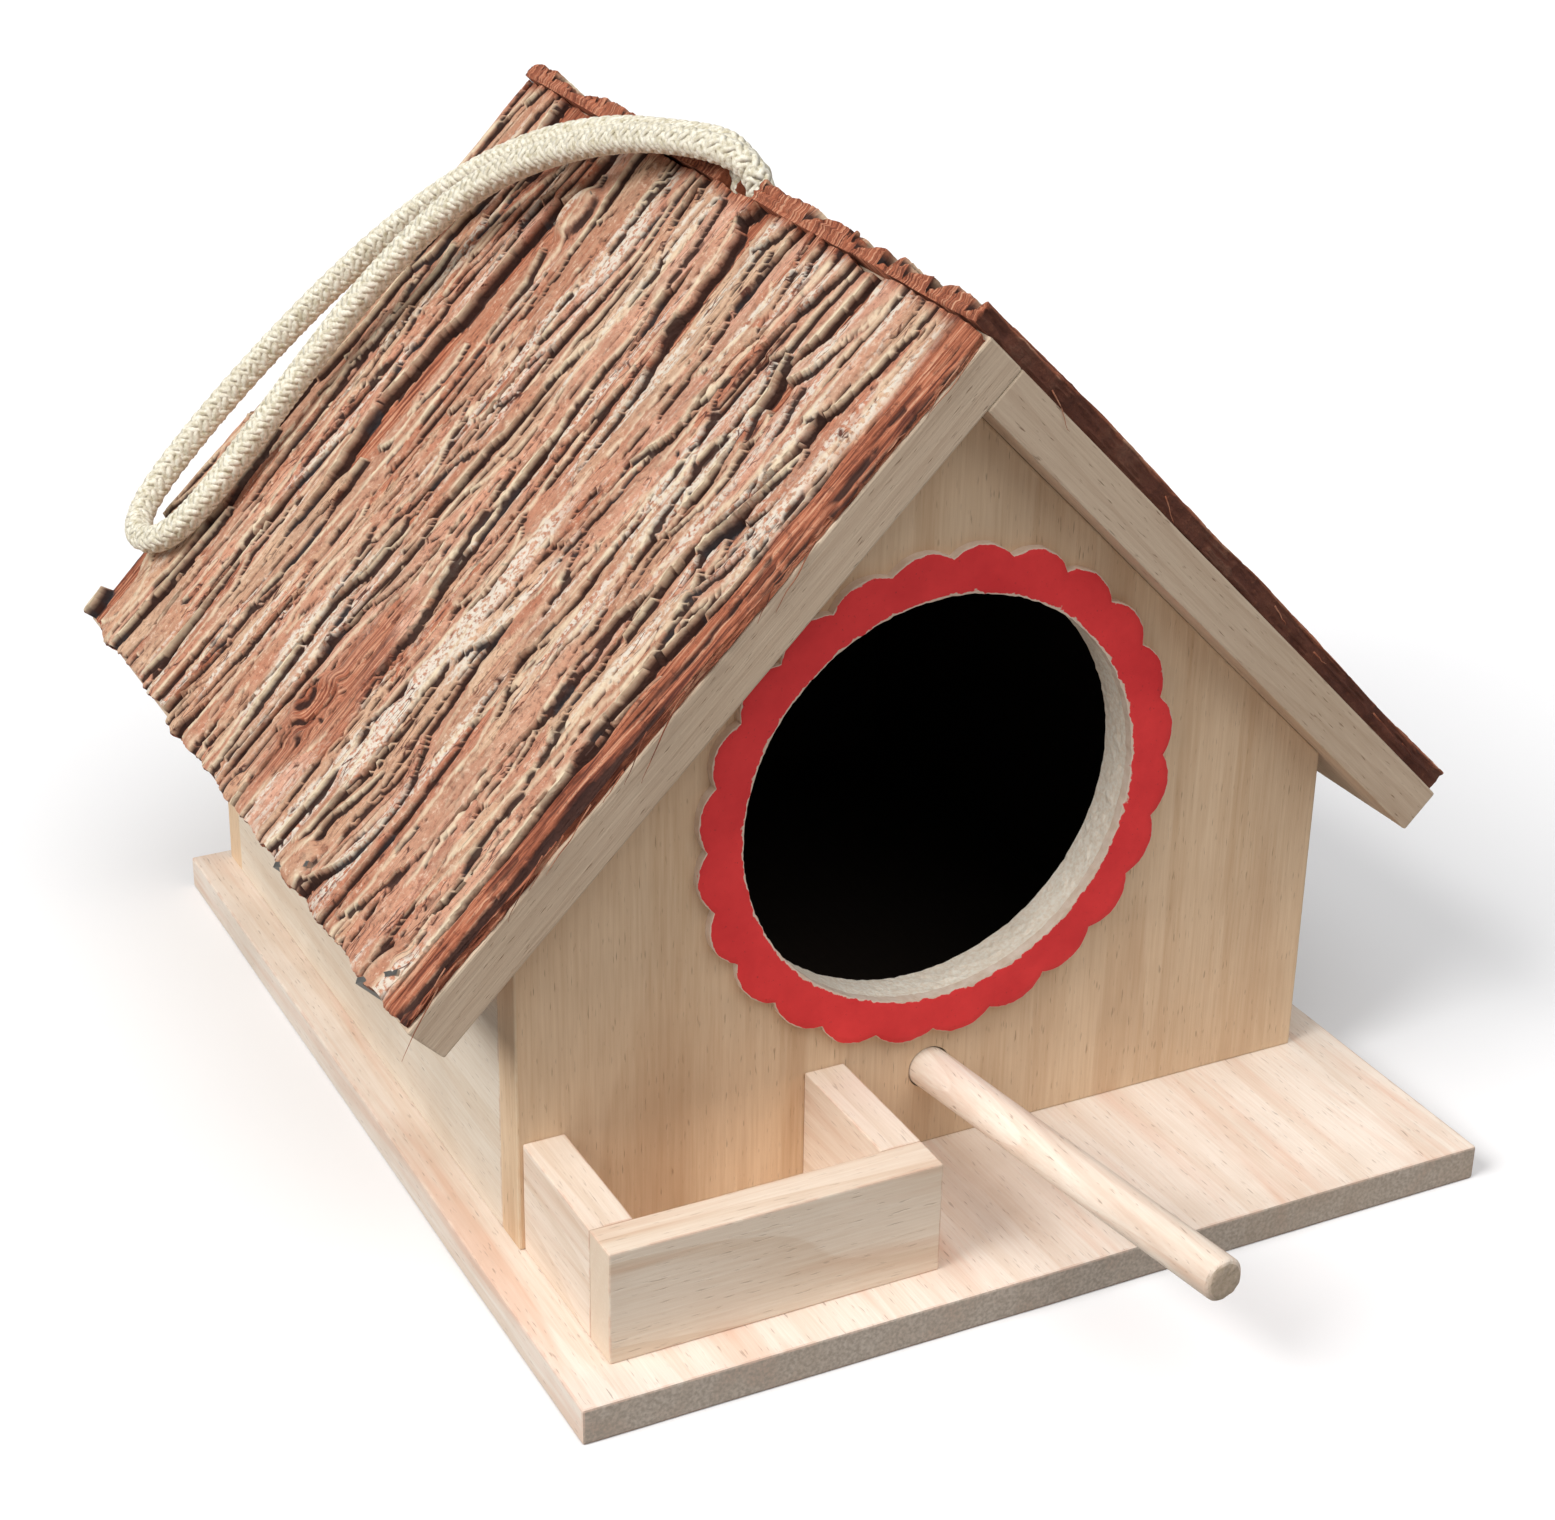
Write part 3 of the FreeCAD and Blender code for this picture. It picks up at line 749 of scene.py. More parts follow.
def wavy(line, seed, *waves):
    """Random waves along a line, in mm: the height and length of each."""
    return sum(height * rough_field(line / long, line * 0, seed + k)
               for k, (height, long) in enumerate(waves))


def store_mask(mesh, label, values):
    """Stores a mask on a mesh's points."""
    layer = mesh.attributes.new(label, "FLOAT", "POINT")
    layer.data.foreach_set("value", np.asarray(values, dtype=np.float32))


def flaked_surface(u, v, length, width, seed, torn_front):
    """Height of the bark in mm above the board and its masks, for positions in mm."""
    draw = np.random.default_rng(seed)
    height = (0.8 + 0.35 * rough_field(u / 26, v / 2.4, seed + 1)
              + 0.28 * rough_field(u / 9, v / 0.9, seed + 2))
    tone = 0.5 + 0.5 * rough_field(u / 30, v / 6, seed + 3, 2)
    rim, flake = np.zeros_like(u), np.zeros_like(u)
    v = v + 3.4 * rough_field(u / 42, v / 50, seed + 4, 2)
    for count, lengths, halves, bases, rises in flake_layers:
        for vc in np.sort(draw.uniform(torn_front, width + 3, count)):
            uc = draw.uniform(-8, length + 8)
            long, half = draw.uniform(*lengths), draw.uniform(*halves)
            base, rise = draw.uniform(*bases), draw.uniform(*rises)
            lean, bow = draw.normal(0, 0.085), draw.normal(0, 2.2)
            blunt, own_tone, pale = draw.uniform(1.6, 6.0), draw.uniform(), draw.uniform() < 0.55
            mark = int(draw.integers(1, 1 << 20))
            near = (np.abs(u - uc) < long * 0.6) & (np.abs(v - vc) < half * 2.2 + 4 + abs(lean) * long)
            if not near.any():
                continue
            un, vn = u[near], v[near]
            a = (un - uc) / (long / 2)
            b = (vn - vc) - lean * (un - uc) - bow * a * a + 0.8 * rough_field(un / 20, vn * 0, mark, 2)
            taper = np.clip(1 - np.abs(a) ** blunt, 0, None) ** 0.6
            ragged = 1.1 * rough_field(un / 7.0, vn / 12, mark + 3, 5)
            reach = half * taper + ragged * np.clip(taper * 2, 0, 1)
            across = b / np.maximum(reach, 0.05)
            inside = (np.abs(across) < 1) & (taper > 0.02)
            gap = (1 - np.abs(across)) * reach
            top = base + rise * (1 - across) / 2 + 0.25 * np.abs(a) ** 3
            top = top + 0.18 * rough_field(un / 18, vn / 2.2, mark + 7, 3)
            top = np.maximum(top, height[near] + 0.38) - 0.10 * np.clip(1 - gap / 0.4, 0, 1)
            won = inside & (top > height[near] + 0.05)
            spots = np.flatnonzero(near.ravel())[won]
            height.ravel()[spots] = top[won]
            tone.ravel()[spots] = own_tone
            flake.ravel()[spots] = 1.0
            pale_rim = np.clip(1 - gap / 1.3, 0, 1) ** 0.7 * np.clip(0.4 - across, 0, 1)
            rim.ravel()[spots] = (pale_rim * (0.9 if pale else 0.0))[won]
    height = np.where(height > 3.4, 3.4 + (height - 3.4) * 0.55, height)
    for _ in range(bark_cracks):
        uc, vc = draw.uniform(0, length), draw.uniform(torn_front, width)
        long, half, depth = draw.uniform(8, 62), draw.uniform(0.2, 0.6), draw.uniform(0.6, 1.8)
        mark = int(draw.integers(1, 1 << 20))
        a = (u - uc) / (long / 2)
        off = (np.abs(v - vc - 1.3 * rough_field(u / 16, v * 0, mark, 4))
               + 0.25 * rough_field(u / 1.3, v, mark + 1, 2))
        cut = np.clip(1 - off / (half * np.clip(1.2 - np.abs(a), 0.05, 1)), 0, 1) * (np.abs(a) < 1)
        height = height - depth * smooth_step(cut, 0.0, 0.7)
        flake = flake * (1 - 0.8 * smooth_step(cut, 0.2, 0.8))
    return height, tone, rim, flake


def bark_sheet(name, side_name, start, thick, seed, torn_front, front_level, blunt_rake, scar, staples,
               old):
    """Bark slab as a closed mesh: flaked top, torn layered edges, flat underside.

    Where a scar is given, a dark pit, a silvery streak and a worn brown patch lie round it."""
    down, out = slopes[side_name]
    length, width = (rafter - start) / mm, (roof_back - roof_front) / mm
    rows, columns = int(length * mm / bark_grid_down) + 1, int(width * mm / bark_grid_along) + 1
    share_u, share_v = np.meshgrid(np.linspace(0, 1, rows), np.linspace(0, 1, columns), indexing="ij")
    line_u, line_v = share_u * length, share_v * width
    ridge_edge = wavy(line_v, seed + 31, (0.9, 13), (0.12, 2.2))
    eave_edge = wavy(line_v, seed + 33, (0.9, 9), (0.4, 1.6))
    front_edge = wavy(line_u, seed + 35, (0.45, 14), (0.2, 2))
    back_edge = wavy(line_u, seed + 37, (0.45, 12), (0.2, 2))
    seam_x = (apex - slopes["left"][0] * board_thick + slopes["left"][1] * (board_thick + 4 * mm)).x
    reach = bark_hole_radius + (bark_hole_x - seam_x) * (1 if side_name == "right" else -1)
    notch = np.zeros_like(line_u)
    for y in cord_hole_ys:
        off = (line_v * mm + roof_front - y) / bark_hole_radius
        half_chord = np.sqrt(np.clip(1 - off ** 2, 0, None)) * bark_hole_radius
        deep = (half_chord - (bark_hole_radius - reach)) / half_root
        notch = np.maximum(notch, np.where(np.abs(off) < 1, deep / mm, 0))
    notch = np.clip(notch, 0, None)
    first_u = 0.35 + ridge_edge * (notch < 0.01) + notch
    u = first_u + (length - 0.6 + eave_edge - first_u) * share_u
    v = 0.4 + front_edge + (width - 0.8 + back_edge - front_edge) * share_v
    height, tone, rim, flake = flaked_surface(u, v, length, width, seed, torn_front)
    height = (height + 0.07 * rough_field(u / 11, v / 1.0, seed + 41)
              + 0.10 * rough_field(u / 5.0, v / 2.2, seed + 42, 4))
    height *= thick / mm / 4.0
    streak, worn = np.zeros_like(u), np.zeros_like(u)
    if scar is not None:
        middle = scar[1] - 23.5 + 1.4 * rough_field(u / 22, v * 0, seed + 53, 3)
        ragged_side = 0.35 * rough_field(u / 5, v / 2, seed + 54, 3)
        streak = smooth_step(1 - np.abs(v - middle) / 4.4 + ragged_side, 0.15, 0.5)
        streak *= smooth_step(u, scar[0] - 66, scar[0] - 50) * smooth_step(-u, -scar[0] - 9, -scar[0] - 3)
        crust = 3.6 + 0.35 * rough_field(u / 7, v / 1.6, seed + 55, 3)
        height = height * (1 - streak) + streak * np.maximum(height, crust)
        worn = smooth_step(1 - np.hypot((u - scar[0] + 4) / 26, (v - scar[1] + 3) / 15)
                           + 0.5 * rough_field(u / 14, v / 4, seed + 56, 4), 0.15, 0.5) * (1 - streak)
        far = np.hypot((u - scar[0]) / 9, (v - scar[1]) / 7) + 0.25 * rough_field(u / 4, v / 4, seed + 51)
        lump = np.clip(1 - far, 0, 1)
        lip = smooth_step(lump, 0.0, 0.25) * (1 - smooth_step(lump, 0.25, 0.5))
        height = height - 0.9 * smooth_step(lump, 0.3, 0.8) + 0.8 * lip
        flake = flake * (1 - smooth_step(lump, 0.1, 0.4))
        tone = np.where(lump > 0.15, 0.1, tone)
    for s, y in staples:
        far = np.hypot((u - s) / 7.5, (v - y) / 5.5)
        level = thick / mm - 0.04 + 0.22 * rough_field(u / 2.6, v / 2.2, seed + 91, 2)
        near = smooth_step(1 - far, 0.0, 0.4)
        height = height * (1 - near) + level * near
    torn = smooth_step(torn_front + 2.0 * rough_field(u / 24, v * 0, seed + 71) - v, -1.0, 1.5)
    fibre = rough_field(u / 34, v / 1.1, seed + 73, 3)
    height = height * (1 - torn) + torn * (front_level + 0.85 * fibre + 0.16 * v)
    tone = np.where(torn > 0.5, 0.5 + 0.5 * fibre, tone)
    rake = np.minimum(v, width - v)
    height = (height - blunt_rake * np.clip(1 - rake / 2.2, 0, 1) ** 2
              - 0.5 * np.clip(1 - (length - u) / 2.0, 0, 1) ** 2)
    height = np.clip(height, 0.5, thick / mm + 0.9)
    # Creases in front of raised flake edges are cut a little deeper; with the hollows they make a mask for
    # painted shade.
    behind = np.maximum(np.roll(height, -1, axis=1), np.roll(height, -2, axis=1) - 0.35)
    crease = np.clip((behind - height - 0.18) / 0.5, 0, 1)
    height = np.clip(height - 0.45 * crease, 0.4, None)
    painted_crease_shade = np.maximum(np.clip((spread(height, 2) - height - 0.45) / 1.6, 0, 0.7), crease)
    overlapped = smooth_step(np.roll(height, 1, axis=1) - height, -0.1, 0.5)
    # Mask for a painted highlight: raised crests above the local average, not where the bark just in front
    # stands higher.
    crest_highlight = np.clip((height - spread(height, 4)) / 0.9, 0, 1) * (1 - overlapped)

    def to_world(uu, vv, hh):
        return (np.array(apex) + np.multiply.outer(uu * mm + start, np.array(down))
                + np.multiply.outer(board_thick + hh * mm, np.array(out))
                + np.multiply.outer(vv * mm + roof_front, np.array((0.0, 1.0, 0.0))))

    top = to_world(u, v, height).reshape(-1, 3)
    cell = np.arange(rows * columns).reshape(rows, columns)
    quads = np.stack([cell[:-1, :-1], cell[:-1, 1:], cell[1:, 1:], cell[1:, :-1]], -1).reshape(-1, 4)
    loop = np.concatenate([cell[0, :-1], cell[:-1, -1], cell[-1, :0:-1], cell[:0:-1, 0]])
    flat_u, flat_v = np.zeros(rows - 1), np.zeros(columns - 1)
    way_u = np.concatenate([flat_v - 1, flat_u, flat_v + 1, flat_u])
    way_v = np.concatenate([flat_v, flat_u + 1, flat_v, flat_u - 1])
    edge_u, edge_v, edge_h = u.ravel()[loop], v.ravel()[loop], height.ravel()[loop]
    sunk = notch.ravel()[loop] * (way_u < 0)
    rings = []
    for k in range(1, skirt_rows + 1):
        left_over = 1 - k / skirt_rows
        level = edge_h * left_over
        end_fray = (rough_field(edge_v / 9, level / 0.7, seed + 61)
                    + 0.35 * rough_field(edge_v / 2.4, level / 0.8, seed + 62))
        side_fray = (rough_field(edge_u / 16, level / 0.5, seed + 63)
                     + 0.4 * rough_field(edge_u / 3, level / 0.35, seed + 64))
        fray = np.where(way_u != 0, end_fray, side_fray)
        push = 0.55 * fray * (1 if k < skirt_rows else 0.2) - 0.25 * (1 - left_over)
        push = np.where(sunk > 0.01, 0.0, push)
        inward = np.where(sunk > 0.01, edge_h - level, 0.0)
        rings.append(to_world(edge_u + way_u * push + inward, edge_v + way_v * push, level))
    count = len(loop)
    points = np.concatenate([top] + rings)
    faces = quads[:, ::-1] if side_name == "left" else quads
    faces = [tuple(q) for q in faces.tolist()]
    above = loop
    for k in range(skirt_rows):
        below = rows * columns + k * count + np.arange(count)
        ahead_a, ahead_b = np.roll(above, -1), np.roll(below, -1)
        strip = np.stack([above, ahead_a, ahead_b, below], -1)
        strip = strip[:, ::-1] if side_name == "right" else strip
        faces += [tuple(q) for q in strip.tolist()]
        above = below
    floor_ring = above.tolist()
    faces.append(tuple(floor_ring if side_name == "left" else floor_ring[::-1]))
    mesh = mesh_of(name, points, faces)
    edge_zone = torn * np.clip(0.75 - 0.9 * fibre, 0.1, 1)
    seam_zone = np.clip(1 - (u - 0.5 - 1.2 * rough_field(v / 9, u * 0, seed + 72)) / 2.5, 0, 1)
    sunk_field = spread(height, 9) - height + 0.5 * rough_field(u / 9, v / 3, seed + 85, 3)
    valley = 0.85 * smooth_step(sunk_field, 0.75, 1.35)
    bare = np.maximum(np.maximum(1 - flake, valley), np.maximum(edge_zone, seam_zone))
    bare = np.maximum(bare * (1 - streak), 0.85 * worn)
    lichen = np.maximum(smooth_step(rough_field(u / 40, v / 3.2, seed + 81, 4), 0.20, 0.48), streak)
    # Painted shade: grey-black patches in the hollows below the local average, not on the torn front.
    patchy_hollow_shade = (smooth_step(rough_field(u / 13, v / 5, seed + 83, 3), 0.36, 0.46)
            * smooth_step(spread(height, 3) - height, 0.25, 0.7) * (1 - torn))
    for label, field, beyond in (("tone", tone, 0.5), ("rim", rim * (1 - edge_zone), 0.0),
                                 ("inner", bare, 1.0), ("painted_crease_shade", painted_crease_shade, 0.05), ("crest_highlight", crest_highlight, 0.0),
                                 ("lichen", lichen, 0.0), ("patchy_hollow_shade", patchy_hollow_shade, 0.0)):
        store_mask(mesh, label, np.concatenate([field.ravel(), np.full(count * skirt_rows, beyond)]))
    rake_edge = np.tile(np.abs(way_v), skirt_rows)
    store_mask(mesh, "weathered", np.concatenate([np.zeros(rows * columns), rake_edge * old]))
    mesh.set_sharp_from_angle(angle=math.radians(48))
    return mesh


bark, tree, shader, spot = new_material("rough bark")
mask = {label: mask_of(tree, label) for label in ("tone", "rim", "inner", "painted_crease_shade", "crest_highlight", "weathered",
                                                   "lichen", "patchy_hollow_shade")}
grit = noise_at(tree, spot, 620.0, 5.0, 0.75)
patch = noise_at(tree, spot, 90.0, 6.0, 0.7)
broad = noise_at(tree, spot, 17.0, 5.0, 0.62)
face = ramp(tree, mask["tone"], (0.0, card(182, 107, 75)), (0.16, card(217, 163, 135)),
            (0.32, card(195, 147, 118)), (0.50, card(225, 190, 158)), (0.64, card(191, 117, 85)),
            (0.80, card(221, 168, 143)), (1.0, card(215, 157, 128)))
dark_grit = ranged(tree, grit, 0.46, 0.36, top=0.62)
crust = ranged(tree, noise_at(tree, spot, 900.0, 3.0, 0.6), 0.42, 0.52, top=0.85)
lichen = reckon(tree, "MULTIPLY", mask["lichen"], crust, use_clamp=True)
crack_turn = place(tree, "TexNoise", {"Vector": spot, "Scale": 260.0, "Detail": 3.0}).outputs["Color"]
crack_spot = mixed(tree, 0.32, stretched(tree, spot, (90.0, 620.0, 90.0)), crack_turn, blend_type="ADD")
crack_off = place(tree, "TexVoronoi", {"Vector": crack_spot, "Scale": 1.0},
                  feature="DISTANCE_TO_EDGE").outputs["Distance"]
crack = reckon(tree, "MULTIPLY", ranged(tree, crack_off, 0.05, 0.012), ranged(tree, patch, 0.50, 0.42),
               use_clamp=True)
# Painted highlight: the raised crests, in patches, join the pale flake rims and are mixed toward pale
# cream.
crest_highlight = reckon(tree, "MULTIPLY", mask["crest_highlight"], ranged(tree, patch, 0.42, 0.60))
rim = reckon(tree, "MULTIPLY_ADD", mask["rim"], 0.8, crest_highlight, use_clamp=True)
fibre = noise_at(tree, stretched(tree, spot, (48.0, 1500.0, 48.0)), 1.0, 4.0, 0.65)
inner_tone = ramp(tree, fibre, (0.36, card(94, 44, 30)), (0.44, card(148, 80, 54)),
                  (0.53, card(188, 112, 80)), (0.66, card(222, 170, 138)))
# Painted shade in patches of the hollows, mixed in grey-black.
patchy_hollow_shade = reckon(tree, "MULTIPLY", mask["patchy_hollow_shade"], 0.85, use_clamp=True)
old_bark = mixed(tree, ranged(tree, grit, 0.56, 0.70, top=0.45), card(88, 46, 32), card(150, 96, 70))
laid_over = (
    (ranged(tree, patch, 0.46, 0.58, top=0.55), card(169, 115, 90)),              # mottling
    (ranged(tree, broad, 0.47, 0.62, top=0.62), card(186, 115, 83)),              # browner stretches
    (dark_grit, card(110, 65, 47)),
    (ranged(tree, grit, 0.55, 0.64, top=0.60), card(236, 210, 186)),              # pale grit
    (lichen, card(234, 226, 212)),
    (crack, card(96, 54, 42)),
    (rim, card(234, 216, 186)),
    (mask["inner"], mixed(tree, dark_grit, inner_tone, card(104, 54, 38))),       # inner bark
    # Painted shade: creases in front of raised flake edges and deep hollows are coloured near black.
    (ranged(tree, mask["painted_crease_shade"], 0.14, 0.60, top=0.96), card(52, 24, 16)),       # under the flakes
    (patchy_hollow_shade, card(52, 50, 54)),
    (mask["weathered"], old_bark))
bark_colour = face
for share, colour in laid_over:
    bark_colour = mixed(tree, share, bark_colour, colour)
fibre_part = reckon(tree, "MULTIPLY_ADD", mask["inner"], 0.9, 0.12)
bark_height = reckon(tree, "MULTIPLY_ADD", fibre, fibre_part, grit)
wire_up(tree, shader, {"Base Color": bark_colour, "Roughness": ranged(tree, grit, bottom=0.72, top=0.95),
                       "Normal": bumped(tree, bark_height, 1.0, 0.6 * mm)})

staple_spots = [(10.0, 57.0), (136.0, 135.0), (136.0, 179.0)]
bark_left_thick = 4.0 * mm
bark_right_thick = 4.5 * mm
left_staples = [(s + board_thick / mm, (roof_back - roof_front) / mm - back) for s, back in staple_spots]
right_staples = [(s + (board_thick + bark_left_thick) / mm, v)
                 for (s, _), (_, v) in zip(staple_spots, left_staples)]
bark_left = bark_sheet("bark_left_rough", "left", -board_thick, bark_left_thick, seed=11, torn_front=7.0,
                       front_level=2.2, blunt_rake=0.9, scar=(123.0, 86.0), staples=left_staples, old=0.15)
add_piece("bark_left_rough", bark_left, bark, ["bark_left"])
bark_right = bark_sheet("bark_right_rough", "right", -board_thick - bark_left_thick, bark_right_thick,
                        seed=29, torn_front=3.0, front_level=3.9, blunt_rake=0.3, scar=None,
                        staples=right_staples, old=0.9)
add_piece("bark_right_rough", bark_right, bark, ["bark_right"])


# ---------------------------------------------------------------- loose bark fibres
# Thin brown fibres torn loose from the bark hang along its front edge, from the ridge down to
# the eave. They are strands of the bark itself.
fibre_radius = 0.16 * mm
fibre_sides = 5
fibre_steps = 14
fibre_draw = np.random.default_rng(47)
loose = [(-6.0, 9.6, 0.2, 14.0, "left"), (-2.0, 10.2, 0.1, 9.0, "left")]
loose += [(fibre_draw.uniform(4, 134), fibre_draw.uniform(9.6, 11.6), fibre_draw.uniform(-0.1, 0.6),
           fibre_draw.uniform(5, 15), "left") for _ in range(16)]
loose += [(fibre_draw.uniform(0, 130), fibre_draw.uniform(10.0, 12.6), fibre_draw.uniform(-0.1, 0.4),
           fibre_draw.uniform(4, 9), "right") for _ in range(6)]
strand_points, strand_faces = [], []
for number, (s, t, ahead, long, side_name) in enumerate(loose):
    down, out = slopes[side_name]
    foot = apex + down * s * mm + out * t * mm + Vector((0, roof_front - ahead * mm, 0))
    turn = fibre_draw.uniform(-0.35, 0.15)
    way = (down + out * turn + Vector((0, -0.04, 0))).normalized()
    line = []
    for k in range(fibre_steps):
        share = k / (fibre_steps - 1)
        sway = 0.9 * mm * (rough_field(np.array([share * 2.2]), np.array([0.0]), 300 + number, 2)[0])
        line.append(foot + way * (long * mm * share) + out * (sway * share - 0.5 * mm * share ** 2)
                    - Vector((0, 0.25 * mm * share * (1 + math.sin(5 * share + number)), 0)))
    for k, p in enumerate(line):
        thin = fibre_radius * (1 - 0.75 * k / (fibre_steps - 1))
        for c in range(fibre_sides):
            a = 2 * math.pi * c / fibre_sides
            strand_points.append(p + out * (thin * math.cos(a)) + Vector((0, thin * math.sin(a), 0)))
    strand_faces += tube_faces(fibre_steps, fibre_sides, number * fibre_steps * fibre_sides)
strands = mesh_of("bark_fibres", np.array([tuple(p) for p in strand_points]), strand_faces)
store_mask(strands, "inner", np.full(len(strand_points), 1.0))
# The fibres get a little of the same painted shade.
store_mask(strands, "painted_crease_shade", np.full(len(strand_points), 0.22))
add_piece("bark_fibres", strands, bark, [])


# ---------------------------------------------------------------- entrance ring
# Thin plywood, fretsawn with 24 scallops and glued round the entrance. Only its face is
# painted, in matte red; the sawn rims stay bare.
ring_lobes = 24
ring_tip = 48.4 * mm
ring_valley = 46.3 * mm
ring_bore = 39.3 * mm
steps_per_lobe = 16
ring_depth = ring_high.y - ring_low.y

paint, tree, shader, spot = new_material("matte red paint")
brush = noise_at(tree, spot, 90.0, 4.0, 0.6)
tooth = noise_at(tree, spot, 1400.0, 3.0, 0.6)
chips = noise_at(tree, spot, 420.0, 3.0, 0.6)
red = ramp(tree, brush, (0.3, card(222, 40, 46)), (0.7, card(242, 58, 60)))
dented = mixed(tree, ranged(tree, tooth, 0.64, 0.72, top=0.35), red, card(120, 24, 26))
chipped = ranged(tree, reckon(tree, "MULTIPLY_ADD", mask_of(tree, "bare"), 0.62, chips), 0.86, 0.92)
ply = mixed(tree, chips, card(246, 232, 220), card(196, 164, 136))
wire_up(tree, shader, {"Base Color": mixed(tree, chipped, dented, ply),
                       "Roughness": ranged(tree, brush, bottom=0.55, top=0.75),
                       "Normal": bumped(tree, tooth, 0.5, 0.08 * mm)})

count = ring_lobes * steps_per_lobe
theta = np.arange(count) * 2 * math.pi / count
within = (theta * ring_lobes / (2 * math.pi)) % 1.0
lobe = np.floor(theta * ring_lobes / (2 * math.pi)).astype(int)
ring_draw = np.random.default_rng(5)
lobe_size = ring_draw.normal(0, 0.22, ring_lobes)[lobe] * np.sin(math.pi * within)
round_out = 1 - (2 * within - 1) ** 2
ragged_rim = 0.10 * rough_field(theta * 55, theta * 0, 81) + 0.06 * rough_field(theta * 190, theta * 0, 82)
outer = ring_valley + (ring_tip - ring_valley) * round_out + (lobe_size + ragged_rim) * mm
ragged_bore = 0.14 * rough_field(theta * 28, theta * 0, 83) + 0.10 * rough_field(theta * 120, theta * 0, 84)
inner = ring_bore + ragged_bore * mm
profile = [              # share of the way out, share of the way to the face, bareness
    (0.0, 0.0, 1.0), (0.0, 0.55, 1.0), (0.0, 0.93, 0.9), (0.06, 1.0, 0.5), (0.18, 1.0, 0.0),
    (0.34, 1.0, 0.0), (0.5, 1.0, 0.0), (0.66, 1.0, 0.0), (0.82, 1.0, 0.0), (0.96, 1.0, 0.35),
    (1.0, 0.9, 0.9), (1.0, 0.5, 1.0), (1.0, 0.0, 1.0)]
ring_points, ring_bare = [], []
for share, front_share, bareness in profile:
    radius = inner + (outer - inner) * share
    swell = 0.05 * mm * rough_field(theta * 14, theta * 0 + share * 5, 85)
    y = ring_high.y - ring_depth * front_share - swell * (front_share == 1.0)
    ring_points.append(np.stack([entrance.x + radius * np.cos(theta), y + theta * 0,
                                 entrance.z + radius * np.sin(theta)], 1))
    ring_bare.append(np.full(count, bareness))
ring_mesh = mesh_of("scalloped_ring", np.concatenate(ring_points), closed_faces(len(profile), count))
store_mask(ring_mesh, "bare", np.concatenate(ring_bare))
ring_mesh.set_sharp_from_angle(angle=math.radians(40))
add_piece("scalloped_ring", ring_mesh, paint, ["entrance_ring"])


# ---------------------------------------------------------------- perch
# An 8 mm birch dowel pushed into its hole, sawn off roughly at the end and left raw.
perch_length = 94.0 * mm
perch_chamfer = 0.7 * mm
perch_start = perch_mouth - perch_way * 12.0 * mm

dowel_wood = raw_wood("raw birch dowel", card(250, 238, 224), card(232, 208, 188), card(190, 150, 124),
                      grain="Y", streak_amount=0.4, band_spacing=4.0, band_amount=0.35, pore_share=0.45,
                      smudge_share=0.15)
dowel_sides, dowel_rows = 48, 60
side_way = perch_way.orthogonal().normalized()
up_way = perch_way.cross(side_way)
dowel_points = []
stations = [(perch_length * k / dowel_rows, 1.0) for k in range(dowel_rows)]
stations[-1] = (perch_length - perch_chamfer - 0.4 * mm, 1.0)
stations += [(perch_length - perch_chamfer, 0.995), (perch_length - 0.25 * mm, 0.9), (perch_length, 0.80),
             (perch_length + 0.02 * mm, 0.55), (perch_length - 0.03 * mm, 0.25)]
for along_perch, share in stations:
    for n in range(dowel_sides):
        a = 2 * math.pi * n / dowel_sides
        spoke = side_way * math.cos(a) + up_way * math.sin(a)
        p = perch_start + perch_way * along_perch + spoke * (perch_radius * share)
        flat = 0.07 * mm * noise.noise(Vector((math.cos(a) * 1.4, math.sin(a) * 1.4, along_perch * 22)))
        rag = 0.05 * mm * noise.noise(Vector((math.cos(a) * 9, math.sin(a) * 9, along_perch * 40)))
        p += spoke * (flat + rag)
        if along_perch > perch_length - perch_chamfer:
            p += perch_way * (0.22 * mm * noise.noise(p * 700.0))
        dowel_points.append(p)
dowel_mesh = mesh_of("perch_dowel", dowel_points, tube_faces(len(stations), dowel_sides))
dowel_mesh.set_sharp_from_angle(angle=math.radians(35))
add_piece("perch_dowel", dowel_mesh, dowel_wood, ["perch"])


# ---------------------------------------------------------------- feed tray
# Three sawn strips on edge, glued to the ledge and closed by the front panel. The front
# strip runs the full width and the side strips butt behind it.
tray_wood = raw_wood("sawn poplar, tray", card(240, 224, 206), card(222, 198, 174), card(206, 160, 126),
                     grain="X", streak_amount=0.45, band_spacing=6.0, band_amount=0.45, pore_share=0.28,
                     arris_colour=card(214, 170, 146), end_colour=card(228, 208, 186))
tray_side_wood = raw_wood("sawn poplar, tray sides", card(244, 228, 212), card(226, 204, 182),
                          card(206, 160, 126), grain="Y", streak_amount=0.4, band_spacing=5.0,
                          band_amount=0.4, pore_share=0.28, arris_colour=card(214, 170, 146),
                          end_colour=card(206, 188, 166))
for node_name, strip_wood in (("tray_front_strip", tray_wood), ("tray_left_strip", tray_side_wood),
                              ("tray_right_strip", tray_side_wood)):
    corners, push = box_corners(*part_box(node_name))
    strip_mesh = sawn_board(node_name + "_sawn", corners, push, eased=0.35 * mm, step=4.0 * mm,
                            wander=0.08 * mm)
    add_piece(node_name + "_sawn", strip_mesh, strip_wood, [node_name])


